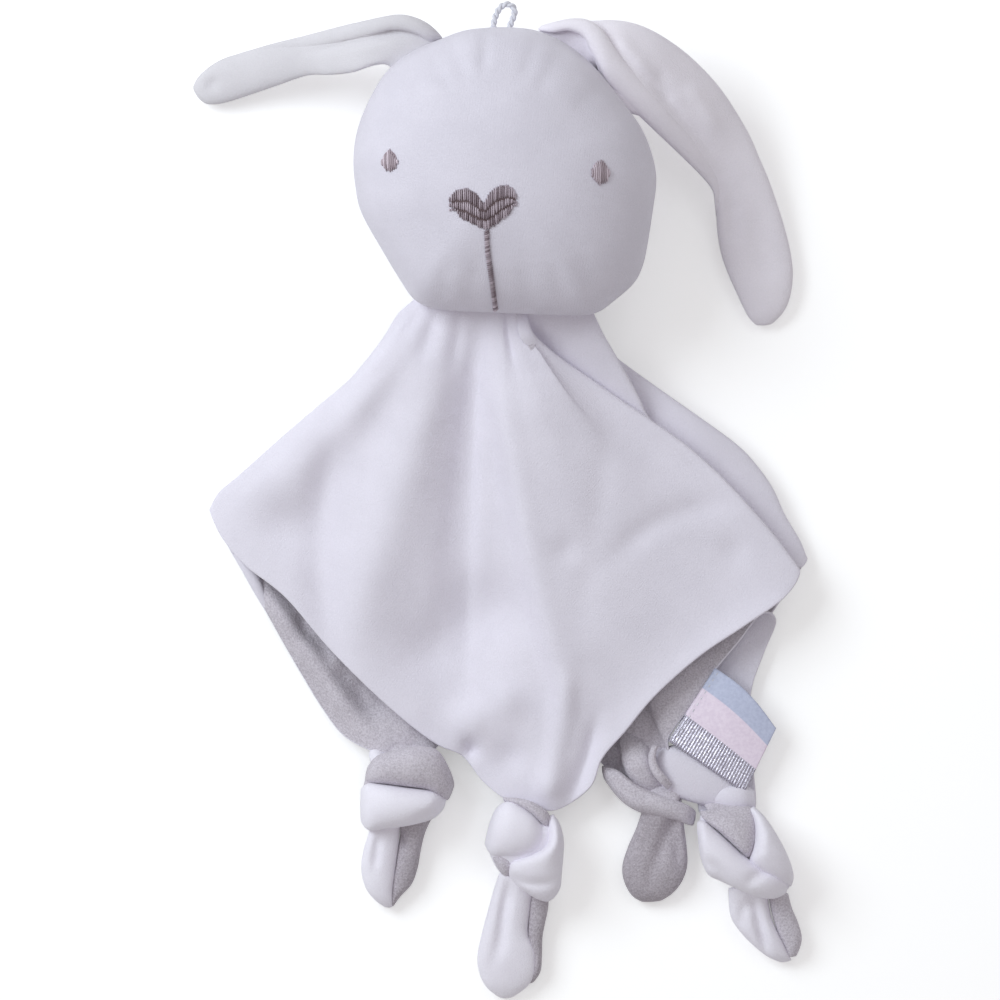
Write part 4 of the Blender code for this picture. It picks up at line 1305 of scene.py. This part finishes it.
for corner, (cloth_finish, rows) in GATHERS.items():
    gather = strip(f"{corner}_corner_gather", rows, steps=20, around=30)
    dress(gather, cloth_finish, slot_of(cloth_finish))
    start, end = rows[0], rows[2]
    still = seen((start[0] + start[2]) / 2, start[1], start[4])
    moving = seen((end[0] + end[2]) / 2, end[1], end[4])
    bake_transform(gather)

# %% [markdown]
# The hem is bunched up below the tag, and it rolls a little under the left corner of the flap. Two
# of these folds reach into the right knot and stay where they lie, and the others go with the blanket.

# %% Folds of the hem
HEM_FOLDS = {
    "hem_puff": (
        blanket_velour,
        (
            (656, 752, 658, 782, 6.0, 2.8), (668, 746, 670, 794, 6.4, 4.0),
            (686, 744, 690, 802, 6.2, 4.4), (706, 750, 711, 806, 6.0, 4.2),
            (724, 760, 728, 803, 5.4, 3.8), (742, 772, 742, 794, 4.6, 2.6),
        ),
    ),
    "hem_lobe": (
        blanket_velour,
        (
            (710, 789, 713, 806, 5.4, 3.0), (726, 785, 729, 811, 6.4, 4.2),
            (742, 784, 745, 812, 6.2, 4.2), (755, 790, 756, 808, 4.6, 2.6),
        ),
    ),
    "pouch_fold": (
        lining,
        (
            (616, 732, 634, 734, 4.4, 1.6), (619, 748, 646, 745, 5.6, 3.4),
            (623, 766, 654, 759, 6.4, 4.6), (630, 781, 659, 771, 6.2, 4.4),
            (640, 792, 664, 780, 5.6, 3.4), (650, 798, 668, 787, 4.8, 1.8),
        ),
    ),
    "pouch_hem": (
        lining,
        (
            (652, 745, 658, 745, 11.0, 1.2), (648, 757, 656, 757, 12.0, 1.8),
            (651, 771, 659, 767, 12.6, 2.0), (660, 783, 667, 777, 12.0, 2.0),
            (668, 790, 673, 784, 10.4, 1.0),
        ),
    ),
    "left_hem_roll": (
        blanket_velour,
        (
            (233, 553, 249, 554, 3.8, 2.0), (241, 569, 257, 570, 4.4, 2.6),
            (249, 584, 263, 585, 4.0, 2.4), (259, 601, 268, 601, 3.0, 1.8),
            (268, 615, 272, 614, 2.2, 0.9),
        ),
    ),
}
DRAWN_IN = {
    "hem_lobe": ((732, 788, 6.0), (732, 810, 7.0)),
    "hem_puff": ((706, 789, 6.0), (716, 811, 6.0)),
}
for part, (cloth_finish, rows) in HEM_FOLDS.items():
    piece = strip(part, rows, steps=36, around=28)
    dress(piece, cloth_finish, slot_of(cloth_finish))
    if part in DRAWN_IN:
        still, moving = [seen(*place) for place in DRAWN_IN[part]]
        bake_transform(piece)
    else:
        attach(piece, "blanket")

# %% [markdown]
# ## The tag
#
# A satin ribbon with a blue, a pink and a silver stripe is folded double and caught in the hem.
# The stripes run from the seam to the fold, so they are bands across the ribbon's width. The silver
# one is woven with metal thread, which glints in flecks.

# %% Ribbon finish
def striped(wire):
    grain = wire.node("ShaderNodeTexCoord", out=2)
    width = wire.node("ShaderNodeSeparateXYZ", None, {"Vector": grain}, 0)
    place = wire.node("ShaderNodeTexCoord", out=3)
    shine = place.noise(900.0, 2.0)
    length = wire.node("ShaderNodeSeparateXYZ", None, {"Vector": grain}, 1)
    weave = wire.node("ShaderNodeMath", {"operation": "SINE"}, {0: length * 420.0})
    fleck = wire.node("ShaderNodeTexVoronoi", None, {"Vector": place, "Scale": 2300.0}, 1)
    bright = wire.node("ShaderNodeSeparateXYZ", None, {"Vector": fleck}, 0) * 0.7 + weave * 0.07 + 0.15
    edge = width.between(0.30, 0.325) * (1 - width.between(0.335, 0.35)) + 1 - width.between(0.03, 0.06)
    dots = wire.node("ShaderNodeMath", {"operation": "SINE"}, {0: length * 640.0}).between(-0.2, 0.6)
    glint = (bright - edge * dots * 0.5).between(0.0, 1.0)
    silver = glint.colours(paint(166, 160, 178), paint(228, 225, 238))
    pink = shine.between(0.2, 0.8).colours(paint(239, 224, 242), paint(251, 238, 253))
    blue = shine.between(0.2, 0.8).colours(paint(193, 200, 226), paint(208, 215, 239))
    in_silver = 1 - width.between(0.345, 0.36)
    in_blue = width.between(0.70, 0.715)
    colour = in_blue.colours(in_silver.colours(pink, silver), blue)
    height = weave * in_silver + bright * in_silver * 0.6 + shine * 0.3
    rough = 0.45 - in_silver * 0.15
    metal = in_silver * bright * 0.5
    return {
        "Base Color": colour, "Roughness": rough, "Metallic": metal,
        "Normal": wire.bump(height, 0.5, 0.0003),
    }


ribbon_finish = finish("striped_satin", striped, Sheen_Weight=0.15)

# %% Ribbon folded double
TAG_SEAM = (668, 741), (715, 668)
TAG_FOLD = (743, 792), (775, 727)
TAG_MM = 11.0
TAG_WAVE_MM = 0.9
TAG_DROP_MM = 1.6
TAG_BOW = 5.0
RIBBON_THICKNESS = 0.00035
LEAF_GAP_MM = 1.0
across = np.linspace(0, 1, 33)[None, :]
leaf = np.linspace(0, 1, 30)
turn_over = np.linspace(0, math.pi, 9)[1:-1]
reach = np.concatenate([leaf, np.ones(len(turn_over)), leaf[::-1]])[:, None]
sink = np.concatenate([np.zeros(len(leaf)), (1 - np.cos(turn_over)) / 2, np.ones(len(leaf))])[:, None]
bulge = np.concatenate([np.zeros(len(leaf)), np.sin(turn_over), np.zeros(len(leaf))])[:, None]


def corner_mix(index):
    """One coordinate along the seam and along the fold: 0 for across the picture, 1 for down it."""
    seam_side = TAG_SEAM[0][index] * (1 - across) + TAG_SEAM[1][index] * across
    fold_side = TAG_FOLD[0][index] * (1 - across) + TAG_FOLD[1][index] * across
    return seam_side, fold_side


seam_x, fold_x = corner_mix(0)
seam_y, fold_y = corner_mix(1)
side_bow = TAG_BOW * np.sin(np.pi * reach) * across**2
tag_px = seam_x + (fold_x - seam_x) * reach + bulge * 0.9 + side_bow * 0.5
tag_py = seam_y + (fold_y - seam_y) * reach + bulge * 0.9 - side_bow
tag_wave = TAG_WAVE_MM * np.sin(np.pi * reach * 1.1) * (0.4 + across)
tag_mm = TAG_MM + tag_wave - TAG_DROP_MM * reach**2 - LEAF_GAP_MM * sink
tag = mesh_of("striped_ribbon_tag", seen(tag_px, tag_py, tag_mm))
ribbon_thick = tag.modifiers.new("ribbon", "SOLIDIFY")
ribbon_thick.thickness = RIBBON_THICKNESS
ribbon_thick.offset = 0.0
dress(tag, ribbon_finish, "striped_ribbon", "ribbon_tag")
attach(tag, "ribbon_tag")
tag_area = sum(face.area for face in tag.data.polygons)
print("the ribbon has", round(tag_area * 1e4, 2), "cm2")

# %% Stitches of the tag
STITCH_MM = 11.35
STITCH_HALF_LENGTH = 1.6
STITCH_RADIUS = 0.00022
stitch_share = np.linspace(0.04, 0.96, 12)
tag_paths, tag_outs, tag_radii = [], [], []
for share in stitch_share:
    x = TAG_SEAM[0][0] + (TAG_SEAM[1][0] - TAG_SEAM[0][0]) * share
    y = TAG_SEAM[0][1] + (TAG_SEAM[1][1] - TAG_SEAM[0][1]) * share
    steps = np.linspace(-STITCH_HALF_LENGTH, STITCH_HALF_LENGTH, 5)
    tag_paths.append(seen(x + 4.0 + steps * 0.55, y + 3.0 - steps * 0.83, STITCH_MM))
    tag_outs.append(np.tile((0.0, 0.0, 1.0), (5, 1)))
    tag_radii.append(np.array([0.5, 0.9, 1.0, 0.9, 0.5]) * STITCH_RADIUS)
tag_thread = tubes("tag_thread", tag_paths, tag_outs, tag_radii)
dress(tag_thread, cotton, "tag_thread", "tag_stitching")
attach(tag_thread, "ribbon_tag")

# %% [markdown]
# ## The size of the blanket
#
# The blanket's two sheets were cut from one square size. Its four corners are tied off in the
# knots, so the sheet that is left between them is smaller than the square.

# %% [markdown]
# ## Table and light
#
# The toy lies on a white table under a large soft lamp from the upper left, with pale light from
# all round. The table is bright enough to come out white and still takes a soft shadow.

# %% Table
TABLE_HALF = 3.0
TABLE_DROP = 0.0005
TABLE_GLOW = (0.34, 0.34, 0.34)
table_mesh = bmesh.new()
bmesh.ops.create_grid(table_mesh, x_segments=1, y_segments=1, size=TABLE_HALF)
table_data = bpy.data.meshes.new("table")
table_mesh.to_mesh(table_data)
table_mesh.free()
table = bpy.data.objects.new("table", table_data)
bpy.context.scene.collection.objects.link(table)
table.location = (0.0, 0.0, -TABLE_DROP)


def white_table(wire):
    """White paint that glows for the camera alone, so the light on the toy stays as it is."""
    seen_by_camera = wire.node("ShaderNodeLightPath", out=0)
    return {"Emission Color": seen_by_camera.colours((0.0, 0.0, 0.0), TABLE_GLOW)}


TABLE_WHITE = (0.88, 0.88, 0.88, 1.0)
table_finish = finish(
    "white_table", white_table, Base_Color=TABLE_WHITE, Roughness=1.0, Emission_Strength=1.0,
)
table.data.materials.append(table_finish)

# %% Lamps
ROOM_COLOUR = (1.0, 0.965, 0.97, 1.0)
ROOM_STRENGTH = 0.455
LAMP_COLOUR = (0.88, 0.955, 1.0)
world = bpy.data.worlds.new("pale_room")
bpy.context.scene.world = world
world.use_nodes = True
world.node_tree.nodes["Background"].inputs["Color"].default_value = ROOM_COLOUR
world.node_tree.nodes["Background"].inputs["Strength"].default_value = ROOM_STRENGTH


def lamp(name, place, watts, size):
    light = bpy.data.lights.new(name, "AREA")
    light.energy = watts
    light.size = size
    light.color = LAMP_COLOUR
    obj = bpy.data.objects.new(name, light)
    bpy.context.scene.collection.objects.link(obj)
    obj.location = place
    obj.rotation_euler = Vector(place).to_track_quat("Z", "Y").to_euler()


lamp("key", (-0.80, 0.52, 0.88), 9.6, 0.70)
lamp("top", (0.40, 0.55, 1.20), 1.3, 0.60)
bpy.context.scene.view_settings.view_transform = "Standard"
